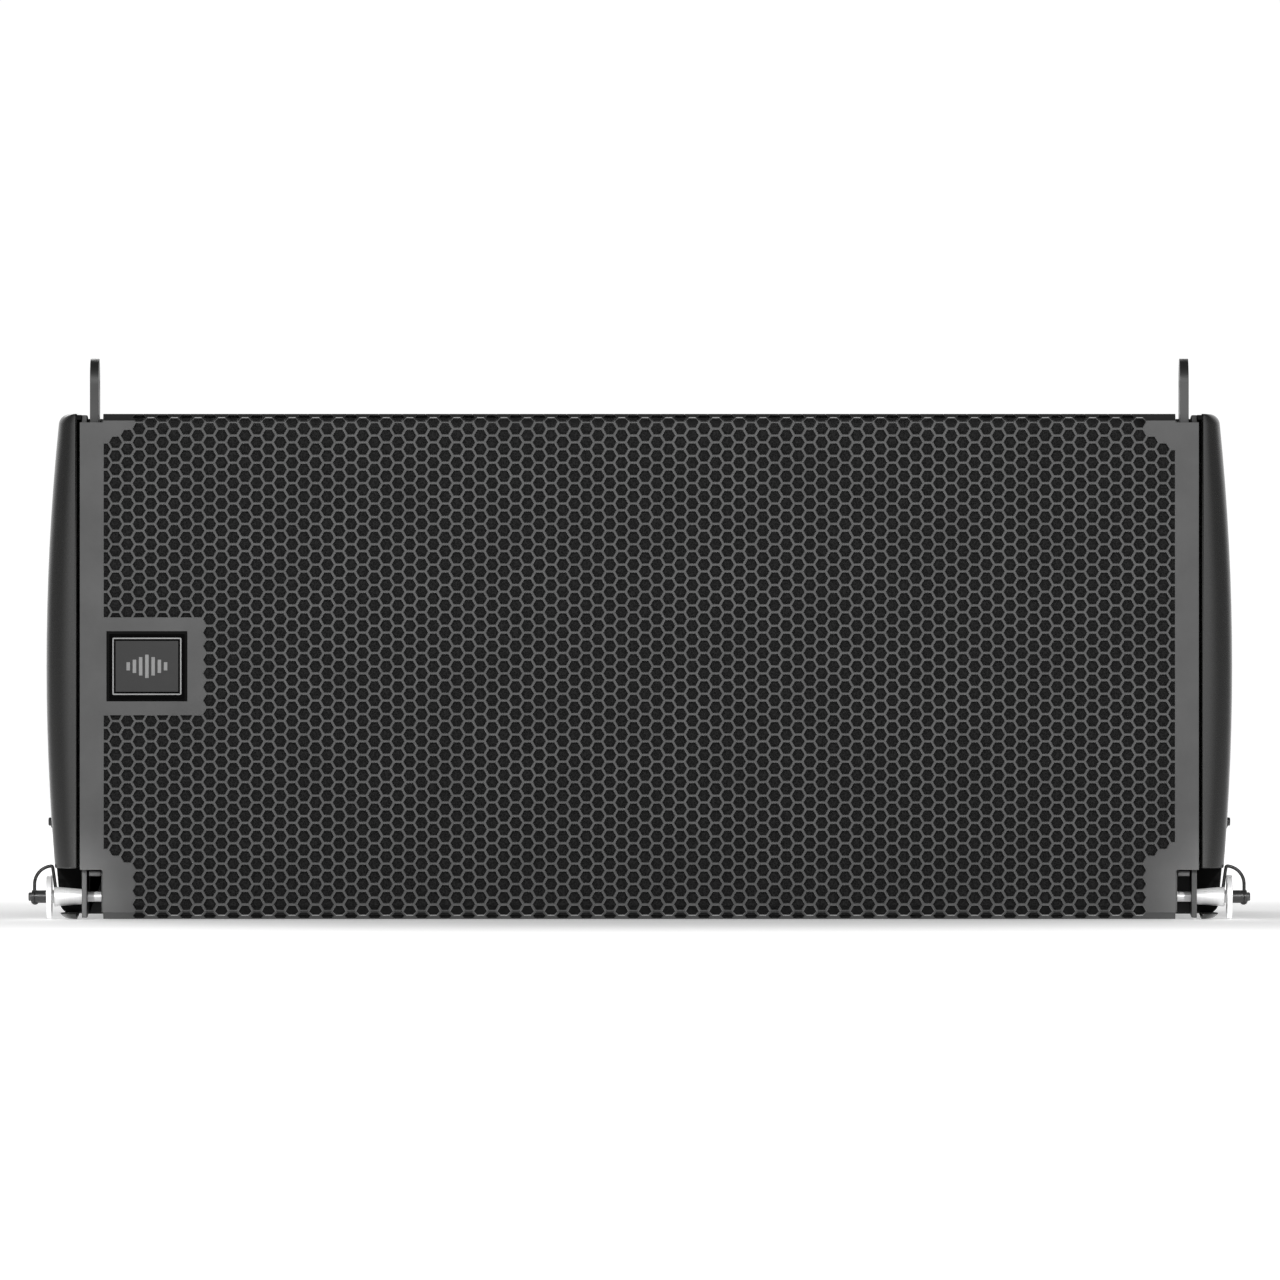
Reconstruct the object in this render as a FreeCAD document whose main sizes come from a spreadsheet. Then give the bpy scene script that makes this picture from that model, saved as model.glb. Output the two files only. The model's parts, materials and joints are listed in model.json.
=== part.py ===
"""Line array speaker: a powered two-way element with its own flying hardware.

Frame: X to the right seen from the front, Y towards the rear, Z up. The origin is at the
bottom centre of the element's box. The right-hand pieces are drawn and mirrored to the left.
"""
import FreeCAD, Part
import math
import os
import re
import Sketcher

DIMENSIONS = {
    # Cabinet: a wedge whose top and bottom fall away towards the rear
    "height": 300,
    "front": -210,
    "knee": -189.3,
    "back": 190,
    "fin_tip": 210,
    "slope": 5,
    "board": 15,
    "side_in": 301.6,
    "baffle_front": -196,
    "baffle_rear": -178,
    "rebate": 1.7,
    "brace_front": 20,
    "brace_rear": 38,
    "brace_middle": 75,
    "brace_outer": 240,
    # Grille: formed steel sheet with a folded top and bottom edge
    "sheet": 1.5,
    "fold": 4,
    "fold_half": 318.4,
    "grille_half": 332.2,
    "strip_low": 29.2,
    "strip_high": 294.9,
    "flange_rear": -190.5,
    "foam_depth": 3,
    "grille_screw_y": -193.6,
    "grille_screw_r": 1.6,
    # Badge
    "badge_x": -292.4,
    "badge_z": 150.1,
    "badge_wide": 48.1,
    "badge_high": 41.7,
    "plate_wide": 41.1,
    "plate_high": 34.1,
    "plate_gap": 0.4,
    "bar_pitch": 3.7,
    "bar_wide": 2.2,
    # Side pods
    "pod_in": 334,
    "pod_out": 352.7,
    "pod_lip": 328,
    "pod_root": 320,
    "pod_front": -208,
    "pod_step": -160,
    "pod_rear": 130,
    "pod_wall": 3,
    "pod_corner": 6.5,
    "barrel": 1420,
    "recess_floor": 3.4,
    "recess_top": 29.9,
    "grip_half": 60,
    "grip_low": 105,
    "grip_high": 182,
    "grip_under": 200,
    "grip_floor": 326,
    "grip_hook": 344,
    # Rigging rails, links and arms
    "rail": 3,
    "slot": 8.6,
    "ear_front": -205,
    "ear_web": -169,
    "shelf_low": 25.4,
    "shelf_high": 28.4,
    "rail_gap": 4,
    "ear_gap": 0.7,
    "rear_web": 138,
    "link_y": -186,
    "link_thick": 5.2,
    "link_half": 15.5,
    "link_tip": 333.1,
    "link_foot": 165,
    "link_eye": 317.6,
    "link_travel": 33,
    "guide_z": 187,
    "arm_y": 172,
    "arm_pivot": 215,
    "arm_half": 14,
    "arm_reach": 84,
    "bolt": 4,
    "bolt_hole": 4.06,
    "bolt_head": 2.6,
    # Quick-release pins
    "pin": 3,
    "pin_hole": 3.06,
    "pin_front_z": 13,
    "pin_rear_z": 54,
    "pin_tip": 309,
    "sleeve_r": 5.9,
    "sleeve_root": 4.5,
    "sleeve_end": 348.2,
    "flange_in": 349.5,
    "flange_out": 352.7,
    "flange_r": 12.9,
    "stub_out": 361.5,
    "stub_r": 3.9,
    "button_r": 2.6,
    "button_out": 363.5,
    "loop_x": 349.1,
    "loop_r": 10.8,
    "loop_rise": 3.55,
    "loop_lean": 1.7,
    "wire": 1,
    # Woofers, one each side of the waveguide
    "woofer_x": 165,
    "woofer_z": 150,
    "rim_r": 126,
    "mouth_r": 117,
    "cone_r": 98,
    "coil_r": 25,
    "magnet_r": 58,
    "rim_front": -201,
    "basket_rear": -108,
    "magnet_rear": -68,
    "dish_r": 74,
    "window_in": 84,
    "window_out": 150,
    "window_half": 17,
    "window_flare": 7,
    "screw_ring": 121.5,
    "cone_front": -194,
    "cone_deep": -158,
    "former_rear": -94,
    "spider_y": -135,
    # Waveguide and compression drivers
    "guide_half": 34.6,
    "guide_low": 28,
    "guide_high": 272,
    "guide_rear": -72,
    "driver_r": 54,
    "driver_low": 86,
    "driver_high": 214,
    "driver_rear": -14,
    "throat_r": 12.5,
    "throat_half": 8,
    "horn_lip": 3.6,
    # Amplifier module in the rear panel
    "amp_half": 150,
    "amp_low": 60,
    "amp_high": 240,
    "amp_rim": 12,
    "amp_plate": 2.5,
    "amp_depth": 78,
    "sink_left": -152,
    "sink_right": 42,
    "sink_base": 5,
    "fin_count": 18,
    "control_x": 104,
    "signal_r": 11.5,
    "mains_r": 12.5,
    "screen_low": 194,
    "screen_high": 224,
    "rock": 7,
}
RUNNING_GAP = 0.05
LOOSE = 0.3
FIN_THICK = 2.2
NOT_OK = ("Invalid", "Error")

doc = FreeCAD.newDocument("LineArraySpeaker")
sheet = doc.addObject("Spreadsheet::Sheet", "Dims")
for row, (alias, size) in enumerate(DIMENSIONS.items(), start=1):
    sheet.set(f"A{row}", str(size))
    sheet.setAlias(f"A{row}", alias)
doc.recompute()

parts = []


def bound(text):
    """An expression on the sheet's cells, from plain alias names."""
    def cell(word):
        return "Dims." + word[0] if word[0] in DIMENSIONS else word[0]
    return re.sub(r"\b[a-z][a-z_]*\b", cell, str(text))


def number(text):
    """The present value of such an expression, in millimetres."""
    result = sheet.evalExpression(bound(text))
    return float(getattr(result, "Value", result))


def rise(y):
    """How far the cabinet's sloping faces have closed in at the depth y."""
    return f"((({y}) - knee) * tan(slope))"


def finish(item, label):
    item.Label = label
    parts.append(item)
    return item


def plane_of(body, role):
    return next(item for item in body.Origin.OriginFeatures if item.Role == role)


ACROSS = {"x": "YZ_Plane", "y": "XZ_Plane", "z": "XY_Plane"}


def sketch_in(body, axis, offset, outline=(), circles=()):
    """A fully constrained sketch across an axis: one closed outline and any circles."""
    sketch = body.newObject("Sketcher::SketchObject", "Sketch")
    sketch.AttachmentSupport = [(plane_of(body, ACROSS[axis]), "")]
    sketch.MapMode = "FlatFace"
    sketch.setExpression("AttachmentOffset.Base.z", bound(offset))
    corners = [FreeCAD.Vector(number(a), number(b), 0) for a, b in outline]
    count = len(corners)
    for index in range(count):
        sketch.addGeometry(Part.LineSegment(corners[index], corners[(index + 1) % count]))
    for index in range(count):
        sketch.addConstraint(Sketcher.Constraint("Coincident", index, 2, (index + 1) % count, 1))
    for index, (a, b) in enumerate(outline):
        pin_point(sketch, index, 1, a, b)
    for a, b, radius in circles:
        centre = FreeCAD.Vector(number(a), number(b), 0)
        index = sketch.addGeometry(Part.Circle(centre, FreeCAD.Vector(0, 0, 1), number(radius)))
        pin_point(sketch, index, 3, a, b)
        rule = sketch.addConstraint(Sketcher.Constraint("Radius", index, number(radius)))
        sketch.setExpression(f"Constraints[{rule}]", bound(radius))
    return sketch


def pin_point(sketch, geometry, point, a, b):
    """Tie one point of a sketch to the sketch's origin by two dimensions."""
    for kind, text in (("DistanceX", a), ("DistanceY", b)):
        rule = sketch.addConstraint(Sketcher.Constraint(kind, -1, 1, geometry, point, number(text)))
        sketch.setExpression(f"Constraints[{rule}]", bound(text))


def new_body():
    return doc.addObject("PartDesign::Body", "Body")


def pad(body, axis, start, end, outline=(), circles=()):
    """Add a prism along an axis between two stations."""
    offset = f"-({end})" if axis == "y" else start
    feature = body.newObject("PartDesign::Pad", "Pad")
    feature.Profile = sketch_in(body, axis, offset, outline, circles)
    feature.setExpression("Length", bound(f"({end}) - ({start})"))
    body.Tip = feature
    return feature


def pocket(body, axis, start, end, outline=(), circles=()):
    """Remove a prism along an axis between two stations."""
    offset = f"-({start})" if axis == "y" else end
    feature = body.newObject("PartDesign::Pocket", "Pocket")
    feature.Profile = sketch_in(body, axis, offset, outline, circles)
    feature.setExpression("Length", bound(f"({end}) - ({start})"))
    body.Tip = feature
    return feature


def spin(body, axis, outline, kind="PartDesign::Revolution"):
    """Turn a half section about an axis: (x, r) about X, (r, y) about Y."""
    feature = body.newObject(kind, "Turned")
    feature.Profile = sketch_in(body, "z", "0", outline)
    feature.ReferenceAxis = (plane_of(body, {"x": "X_Axis", "y": "Y_Axis"}[axis]), [""])
    feature.Angle = 360
    body.Tip = feature
    return feature


def place(item, x="0", y="0", z="0"):
    for name, text in (("x", x), ("y", y), ("z", z)):
        item.setExpression(f"Placement.Base.{name}", bound(text))


def block(x0, x1, y0, y1, z0, z1):
    """A Part box between two corners."""
    item = doc.addObject("Part::Box", "Block")
    for name, low, high in (("Length", x0, x1), ("Width", y0, y1), ("Height", z0, z1)):
        item.setExpression(name, bound(f"({high}) - ({low})"))
    place(item, x0, y0, z0)
    return item


def cut(base, *tools):
    """The base with every tool taken out of it."""
    item = doc.addObject("Part::Cut", "Cut")
    item.Base = base
    item.Tool = tools[0] if len(tools) == 1 else fuse(*tools)
    return item


def fuse(*shapes):
    item = doc.addObject("Part::MultiFuse", "Fuse")
    item.Shapes = list(shapes)
    return item


def mirrored(label, source):
    """The left-hand copy of a right-hand piece."""
    item = doc.addObject("Part::Mirroring", "Mirror")
    item.Source = source
    item.Normal = FreeCAD.Vector(1, 0, 0)
    return finish(item, label)


def group(label, template, places, turns=None):
    """Identical loose pieces in one node: links to one template at several places."""
    copies = []
    for index, (x, y, z) in enumerate(places):
        copy = doc.addObject("App::Link", "Copy")
        copy.LinkedObject = template
        if turns:
            axis, angle = turns[index]
            copy.Placement.Rotation = FreeCAD.Rotation(FreeCAD.Vector(*axis), angle)
        place(copy, x, y, z)
        copies.append(copy)
    item = doc.addObject("Part::Compound", "Group")
    item.Links = copies
    return finish(item, label)


def rectangle(a0, a1, b0, b1):
    return [(a0, b0), (a1, b0), (a1, b1), (a0, b1)]


def screw(head_r, head_h, shank_r, shank_h):
    """A pan-head screw along +X: its head's underside at 0 and its shank towards -X."""
    body = new_body()
    spin(body, "x", [(f"-{shank_h}", "0"), (f"{head_h}", "0"), (f"{head_h}", f"{head_r} * 0.7"),
                     (f"{head_h} * 0.6", f"{head_r}"), ("0", f"{head_r}"), ("0", f"{shank_r}"),
                     (f"-{shank_h}", f"{shank_r}")])
    pocket(body, "x", f"{head_h} * 0.4", f"{head_h}", circles=[("0", "0", f"{shank_r} * 0.8")])
    return body


# Cabinet ---------------------------------------------------------------------------------

def sloped_panel(label, x0, x1, outline):
    body = new_body()
    pad(body, "x", x0, x1, outline)
    return finish(body, label)


def cabinet():
    floor = [("baffle_front", "rebate"), ("knee", "rebate"), ("knee", "0"), ("back", rise("back")),
             ("back", rise("back") + " + board"), ("knee", "board"), ("baffle_front", "board")]
    roof = [(y, f"height - ({z})") for y, z in floor]
    sloped_panel("cabinet_bottom_panel", "-side_in", "side_in", floor)
    sloped_panel("cabinet_top_panel", "-side_in", "side_in", roof)
    side = [("baffle_front", "rebate"), ("knee", "rebate"), ("knee", "0"), ("back", rise("back"))]
    side += [(y, f"height - ({z})") for y, z in reversed(side)]
    right = new_body()
    pad(right, "x", "side_in", "side_in + board", side)
    pocket(right, "x", "pin_tip - 2", "side_in + board",
           circles=[("link_y", "pin_front_z", "pin + 2.5"), ("arm_y", "pin_rear_z", "pin + 2.5")])
    finish(right, "cabinet_right_panel")
    mirrored("cabinet_left_panel", right)

    inner_floor = f"{rise('back - board')} + board"
    rear = new_body()
    pad(rear, "x", "-side_in", "side_in",
        [("back - board", inner_floor), ("back", rise("back") + " + board"),
         ("back", f"height - {rise('back')} - board"), ("back - board", f"height - ({inner_floor})")])
    pocket(rear, "y", "back - board - 1", "back + 1",
           rectangle("-amp_half", "amp_half", "amp_low", "amp_high"))
    finish(rear, "cabinet_rear_panel")

    behind = f"{rise('baffle_rear')} + board"
    baffle = new_body()
    pad(baffle, "x", "-side_in", "side_in",
        [("baffle_front", "board"), ("knee", "board"), ("baffle_rear", behind),
         ("baffle_rear", f"height - ({behind})"), ("knee", "height - board"),
         ("baffle_front", "height - board")])
    pocket(baffle, "y", "baffle_front - 1", "baffle_rear + 1",
           circles=[("-woofer_x", "woofer_z", "mouth_r"), ("woofer_x", "woofer_z", "mouth_r")])
    pocket(baffle, "y", "baffle_front - 1", "baffle_rear + 1",
           rectangle("-guide_half", "guide_half", "guide_low", "guide_high"))
    finish(baffle, "front_baffle")

    y0 = "brace_front"
    y1 = "brace_rear"
    floor_at = [f"{rise(y)} + board" for y in (y0, y1)]
    brace = new_body()
    pad(brace, "x", "0", "board", [(y0, floor_at[0]), (y1, floor_at[1]), (y1, f"height - ({floor_at[1]})"),
                                    (y0, f"height - ({floor_at[0]})")])
    group("cabinet_braces", brace, [("brace_middle", "0", "0"), ("-brace_middle - board", "0", "0"),
                                    ("brace_outer", "0", "0"), ("-brace_outer - board", "0", "0")])


# Grille and badge ------------------------------------------------------------------------

GRILLE_SCREWS_X = ("-250", "-85", "85", "250")
BAR_HEIGHTS = (5, 8, 11, 14, 11, 8, 5)


def grille():
    face = "front + sheet"
    low = [("front", "fold"), ("front + fold", "0"), ("flange_rear", "0"), ("flange_rear", "sheet"),
           ("front + fold + sheet * tan(22.5)", "sheet"), (face, "fold + sheet * tan(22.5)")]
    high = [(y, f"height - ({z})") for y, z in reversed(low)]
    body = new_body()
    pad(body, "x", "-fold_half", "fold_half", low + high)
    pad(body, "y", "front", face, rectangle("-grille_half", "grille_half", "strip_low", "strip_high"))
    pocket(body, "z", "-1", "height + 1",
           circles=[(x, "grille_screw_y", "grille_screw_r") for x in GRILLE_SCREWS_X])
    pocket(body, "y", "front - 1", f"{face} + 1",
           rectangle("badge_x - badge_wide / 2", "badge_x + badge_wide / 2",
                     "badge_z - badge_high / 2", "badge_z + badge_high / 2"))
    finish(body, "grille")

    foam = new_body()
    pad(foam, "y", face, f"{face} + foam_depth",
        rectangle(f"-fold_half + {LOOSE}", f"fold_half - {LOOSE}", "fold * 2", "height - fold * 2"))
    finish(foam, "grille_foam")

    template = new_body()
    radius = f"grille_screw_r - {RUNNING_GAP}"
    spin(template, "x", [("-9", "0"), ("-0.1", "0"), ("-0.1", radius), ("-9", radius)])
    places = []
    turns = []
    for x in GRILLE_SCREWS_X:
        places += [(x, "grille_screw_y", "0"), (x, "grille_screw_y", "height")]
        turns += [((0, 1, 0), 90), ((0, 1, 0), -90)]
    group("grille_screws", template, places, turns)


def badge():
    wide = "badge_wide / 2"
    high = "badge_high / 2"
    bezel = new_body()
    pad(bezel, "y", "front", "front + sheet", rectangle(f"badge_x - {wide}", f"badge_x + {wide}",
                                                        f"badge_z - {high}", f"badge_z + {high}"))
    pocket(bezel, "y", "front - 1", "front + sheet + 1",
           rectangle("badge_x - plate_wide / 2 - plate_gap", "badge_x + plate_wide / 2 + plate_gap",
                     "badge_z - plate_high / 2 - plate_gap", "badge_z + plate_high / 2 + plate_gap"))
    finish(bezel, "badge_bezel")
    plate = new_body()
    pad(plate, "y", "front + 0.6", "front + sheet",
        rectangle("badge_x - plate_wide / 2", "badge_x + plate_wide / 2",
                  "badge_z - plate_high / 2", "badge_z + plate_high / 2"))
    for index, tall in enumerate(BAR_HEIGHTS):
        middle = f"badge_x + {index - len(BAR_HEIGHTS) // 2} * bar_pitch"
        pad(plate, "y", "front + 0.1", "front + 0.6",
            rectangle(f"{middle} - bar_wide / 2", f"{middle} + bar_wide / 2",
                      f"badge_z - {tall} / 2", f"badge_z + {tall} / 2"))
    finish(plate, "badge_plate")


# Side pods -------------------------------------------------------------------------------

def pod_section(y, inset):
    """The pod's outline at one depth: flat top and bottom, bowed outer edge, round corners."""
    middle = number("height / 2")
    bow = number("barrel") - inset
    centre = FreeCAD.Vector(number("pod_out - barrel"), y, middle)
    corner = max(number("pod_corner") - inset, 1)
    closing = max(0, number(rise(str(y))))
    low = closing + inset
    high = 2 * middle - low
    inner = number("pod_root") - (5 if inset else 0)

    def on_bow(z, radius):
        return centre.x + math.sqrt(radius ** 2 - (z - middle) ** 2)

    def corner_arc(z_edge, z_centre):
        x_centre = on_bow(z_centre, bow - corner)
        hub = FreeCAD.Vector(x_centre, y, z_centre)
        edge = FreeCAD.Vector(x_centre, y, z_edge)
        side = hub + (hub - centre).normalize() * corner
        halfway = hub + ((edge - hub) + (side - hub)).normalize() * corner
        return edge, halfway, side

    edge0, half0, side0 = corner_arc(low, low + corner)
    edge1, half1, side1 = corner_arc(high, high - corner)
    bulge = FreeCAD.Vector(on_bow(middle, bow), y, middle)
    foot = FreeCAD.Vector(inner, y, low)
    head = FreeCAD.Vector(inner, y, high)
    return Part.Wire([Part.LineSegment(foot, edge0).toShape(), Part.Arc(edge0, half0, side0).toShape(),
                      Part.Arc(side0, bulge, side1).toShape(), Part.Arc(side1, half1, edge1).toShape(),
                      Part.LineSegment(edge1, head).toShape(), Part.LineSegment(head, foot).toShape()])


def pod_blank(inset):
    """The pod's envelope, drawn in by the wall thickness where a cavity is wanted."""
    front = number("pod_front")
    stations = [front - 1, number("knee"), number("pod_rear") + 1]
    envelope = Part.makeLoft([pod_section(y, inset) for y in stations], True, True)
    nose = number("pod_out - pod_in")
    tall = number("height") + 2
    root = number("pod_root") - (5 if inset else 0)
    jamb = number("pod_in") + inset
    step = number("pod_step") + inset
    nose_y = front + nose
    tail_y = number("pod_rear") - nose
    outer = number("pod_out") + 1

    def slab(x0, x1, y0, y1):
        return Part.makeBox(x1 - x0, y1 - y0, tall, FreeCAD.Vector(x0, y0, -1))

    def post(y):
        return Part.makeCylinder(nose - inset, tall, FreeCAD.Vector(number("pod_in"), y, -1))

    plan = slab(root, outer, step, tail_y)
    plan = plan.fuse(slab(jamb, outer, nose_y, step + 1))
    plan = plan.fuse(post(nose_y).common(slab(jamb, outer, front - 1, nose_y + 1)))
    plan = plan.fuse(post(tail_y).common(slab(root, outer, tail_y - 1, tail_y + nose)))
    plan = plan.fuse(slab(root, number("pod_in"), tail_y, tail_y + nose - inset))
    item = doc.addObject("Part::Feature", "PodBlank")
    item.Shape = envelope.common(plan).removeSplitter()
    return item


def side_pod():
    wall = "pod_wall"
    deep = "pod_out + 5"
    cavity = cut(pod_blank(number(wall)),
                 block("pod_lip", deep, "pod_front - 2", f"pod_step + {wall}", "-2", f"recess_top + {wall}"),
                 block(f"grip_floor - {wall}", deep, f"-grip_half - {wall}", f"grip_half + {wall}",
                       f"grip_low - {wall}", f"grip_high + {wall}"),
                 block(f"grip_floor - {wall}", f"grip_hook + {wall}", f"-grip_half - {wall}",
                       f"grip_half + {wall}", "grip_high", f"grip_under + {wall}"))
    outside = pod_blank(0)
    shell = cut(outside, cavity,
                block("pod_lip", deep, "pod_front - 2", "pod_step", "recess_floor", "recess_top"),
                block("grip_floor", deep, "-grip_half", "grip_half", "grip_low", "grip_high"),
                block("grip_floor", "grip_hook", "-grip_half", "grip_half", "grip_high - 1", "grip_under"))
    doc.recompute()
    if shell.Shape.Volume > outside.Shape.Volume / 2:
        raise RuntimeError("the side pod's cavity wasn't cut")
    ear_out = "side_in + board + rail * 2 + slot"
    lip = block(f"{ear_out} + {LOOSE}", "pod_in + 1", "pod_front", "pod_step",
                f"height - {wall} - 0.5", "height - 0.6")
    pod = finish(fuse(shell, lip), "right_side_pod")
    mirrored("left_side_pod", pod)

    template = screw("3.5", "2", "1.8", "8")
    places = []
    turns = []
    for sign, angle in (("", 0), ("-", 180)):
        for y in ("-46", "46"):
            for z in ("grip_low + 14", "grip_high - 14"):
                places.append((f"{sign}grip_floor", y, z))
                turns.append(((0, 0, 1), angle))
    group("pod_screws", template, places, turns)


# Flying hardware -------------------------------------------------------------------------

def rail_outline(front, rear, gap):
    """A plate's outline across X that keeps a gap to the cabinet's top and bottom faces."""
    low = [(y, f"{rise(y)} + {gap}" if number(y) > number("knee") else gap)
           for y in (front, "knee", rear) if number(front) <= number(y)]
    return low + [(y, f"height - ({z})") for y, z in reversed(low)]


def rigging_rail():
    inner = "side_in + board"
    slot_in = f"{inner} + rail"
    slot_out = f"{inner} + rail + slot"
    ear_out = f"{slot_out} + rail"
    bolt_holes = [("link_y", "guide_z", "bolt"), ("arm_y", "arm_pivot", "bolt")]
    pin_holes = [("link_y", "pin_front_z", "pin_hole"), ("arm_y", "pin_rear_z", "pin_hole")]
    body = new_body()
    pad(body, "x", inner, slot_in, rail_outline("ear_front", "back", "rail_gap"))
    pad(body, "x", slot_in, ear_out, rail_outline("ear_web", "ear_web + rail", "ear_gap"))
    pad(body, "x", f"{slot_in} + {LOOSE}", f"{slot_out} - 1.2",
        rectangle("ear_front", "ear_web", "shelf_low", "shelf_high"))
    pad(body, "x", slot_out, ear_out, rail_outline("ear_front", "ear_web + rail", "ear_gap"))
    pad(body, "x", slot_in, ear_out, rail_outline("rear_web", "rear_web + rail", "rail_gap"))
    pad(body, "x", slot_out, ear_out, rail_outline("rear_web", "back", "rail_gap"))
    pocket(body, "x", f"{inner} - 1", f"{ear_out} + 1", circles=bolt_holes + pin_holes)
    right = finish(body, "right_rigging_rail")
    mirrored("left_rigging_rail", right)

    bolt = new_body()
    head = f"{ear_out} + bolt_head"
    spin(bolt, "x", [(head, "0"), (head, "5.5"), (f"{head} - 1", "6.5"), (ear_out, "6.5"),
                     (ear_out, "bolt"), (inner, "bolt"), (inner, "bolt - 1"),
                     (f"{inner} - 12", "bolt - 1"), (f"{inner} - 12", "0")])
    pocket(bolt, "x", f"{head} - 1.6", head, circles=[("0", "0", "2.5")])
    pivots = [("0", "link_y", "guide_z"), ("0", "arm_y", "arm_pivot")]
    group("rigging_pivot_bolts", bolt, pivots * 2, [((0, 0, 1), angle) for angle in (0, 0, 180, 180)])

    template = screw("5.5", "3", "2.6", "13")
    places = []
    turns = []
    for sign, angle in (("", 0), ("-", 180)):
        for y in ("-140", "-90", "105"):
            for z in ("70", "230"):
                places.append((f"{sign}({slot_in})", y, z))
                turns.append(((0, 0, 1), angle))
    group("rigging_screws", template, places, turns)


def link_and_arm():
    middle = "side_in + board + rail + slot / 2"
    near = f"{middle} - link_thick / 2"
    far = f"{middle} + link_thick / 2"
    link = new_body()

    def holes(body, places):
        for y, z, radius in places:
            pocket(body, "x", f"{near} - 1", f"{far} + 1", circles=[(y, z, radius)])

    top = "link_tip - link_half"
    pad(link, "x", near, far, circles=[("link_y", top, "link_half")])
    pad(link, "x", near, far, rectangle("link_y - link_half", "link_y + link_half", "link_foot", top))
    slot_end = "guide_z + link_travel"
    pocket(link, "x", f"{near} - 1", f"{far} + 1",
           rectangle("link_y - bolt_hole", "link_y + bolt_hole", "guide_z", slot_end))
    holes(link, [("link_y", "link_eye", "pin_hole"), ("link_y", "guide_z", "bolt_hole"),
                 ("link_y", slot_end, "bolt_hole")])
    right = finish(link, "right_front_link")
    mirrored("left_front_link", right)

    tip = "arm_pivot - arm_reach"
    arm = new_body()
    pad(arm, "x", near, far, circles=[("arm_y", "arm_pivot", "arm_half")])
    pad(arm, "x", near, far, rectangle("arm_y - arm_half", "arm_y + arm_half", tip, "arm_pivot"))
    pad(arm, "x", near, far, circles=[("arm_y", tip, "arm_half")])
    holes(arm, [("arm_y", "arm_pivot", "bolt_hole")])
    # The angle holes step from side to side so that each has enough metal round it
    holes(arm, [(f"arm_y + 4 * {step % 2} - 2", f"{tip} + {step} * 11", "pin_hole") for step in range(4)])
    right = finish(arm, "right_rear_arm")
    mirrored("left_rear_arm", right)


def pull_loop(label, y, z):
    """A wire loop: up from the pin's stub, round a quarter turn and down to its sleeve."""
    radius = number("loop_r")
    wire = number("wire")
    foot = FreeCAD.Vector(number("loop_x + loop_r"), 0, number("stub_r") + RUNNING_GAP)
    side = foot + FreeCAD.Vector(0, 0, number("loop_rise"))
    hub = side - FreeCAD.Vector(radius, 0, 0)
    top = hub + FreeCAD.Vector(0, 0, radius)
    slant = hub + FreeCAD.Vector(radius * math.cos(math.pi / 4), 0, radius * math.sin(math.pi / 4))
    inner = FreeCAD.Vector(number("loop_x - loop_lean"), 0, number("sleeve_r") + 2 * RUNNING_GAP)
    line = Part.LineSegment(foot, side).toShape()
    arc = Part.Arc(side, slant, top).toShape()
    start = Part.Wire([Part.Circle(foot, FreeCAD.Vector(0, 0, 1), wire).toShape()])
    bow = Part.Wire([line, arc]).makePipeShell([start], True, True)
    leg = Part.makeCylinder(wire, (top - inner).Length, inner, top - inner)
    item = doc.addObject("Part::Feature", "Loop")
    item.Shape = bow.fuse([leg, Part.makeSphere(wire, top)]).removeSplitter()
    place(item, "0", y, z)
    return finish(item, label)


def quick_pin(where, y, z):
    """One ball-lock pin: spindle with flange, push button in its stub, and wire loop."""
    ear_out = "side_in + board + rail * 2 + slot"
    spindle = new_body()
    spin(spindle, "x",
         [("pin_tip", "0"), ("pin_tip", "pin - 1"), ("pin_tip + 1", "pin"), (f"{ear_out} + {LOOSE}", "pin"),
          (f"{ear_out} + {LOOSE}", "sleeve_root"), ("sleeve_end", "sleeve_r"), ("sleeve_end", "pin * 1.3"),
          ("flange_in", "pin * 1.3"), ("flange_in", "flange_r"), ("flange_out", "flange_r"),
          ("flange_out", "stub_r"), ("stub_out", "stub_r"), ("stub_out", f"button_r + {RUNNING_GAP}"),
          ("flange_in + 1", f"button_r + {RUNNING_GAP}"), ("flange_in + 1", "0")])
    place(spindle, "0", y, z)
    finish(spindle, f"right_{where}_pin")
    mirrored(f"left_{where}_pin", spindle)

    button = new_body()
    spin(button, "x", [("flange_in + 3.5", "0"), ("button_out", "0"), ("button_out", "button_r - 0.5"),
                       ("button_out - 0.5", "button_r"), ("flange_in + 3.5", "button_r")])
    place(button, "0", y, z)
    finish(button, f"right_{where}_pin_button")
    mirrored(f"left_{where}_pin_button", button)

    loop = pull_loop(f"right_{where}_pin_loop", y, z)
    mirrored(f"left_{where}_pin_loop", loop)


# Drivers ---------------------------------------------------------------------------------

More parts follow.
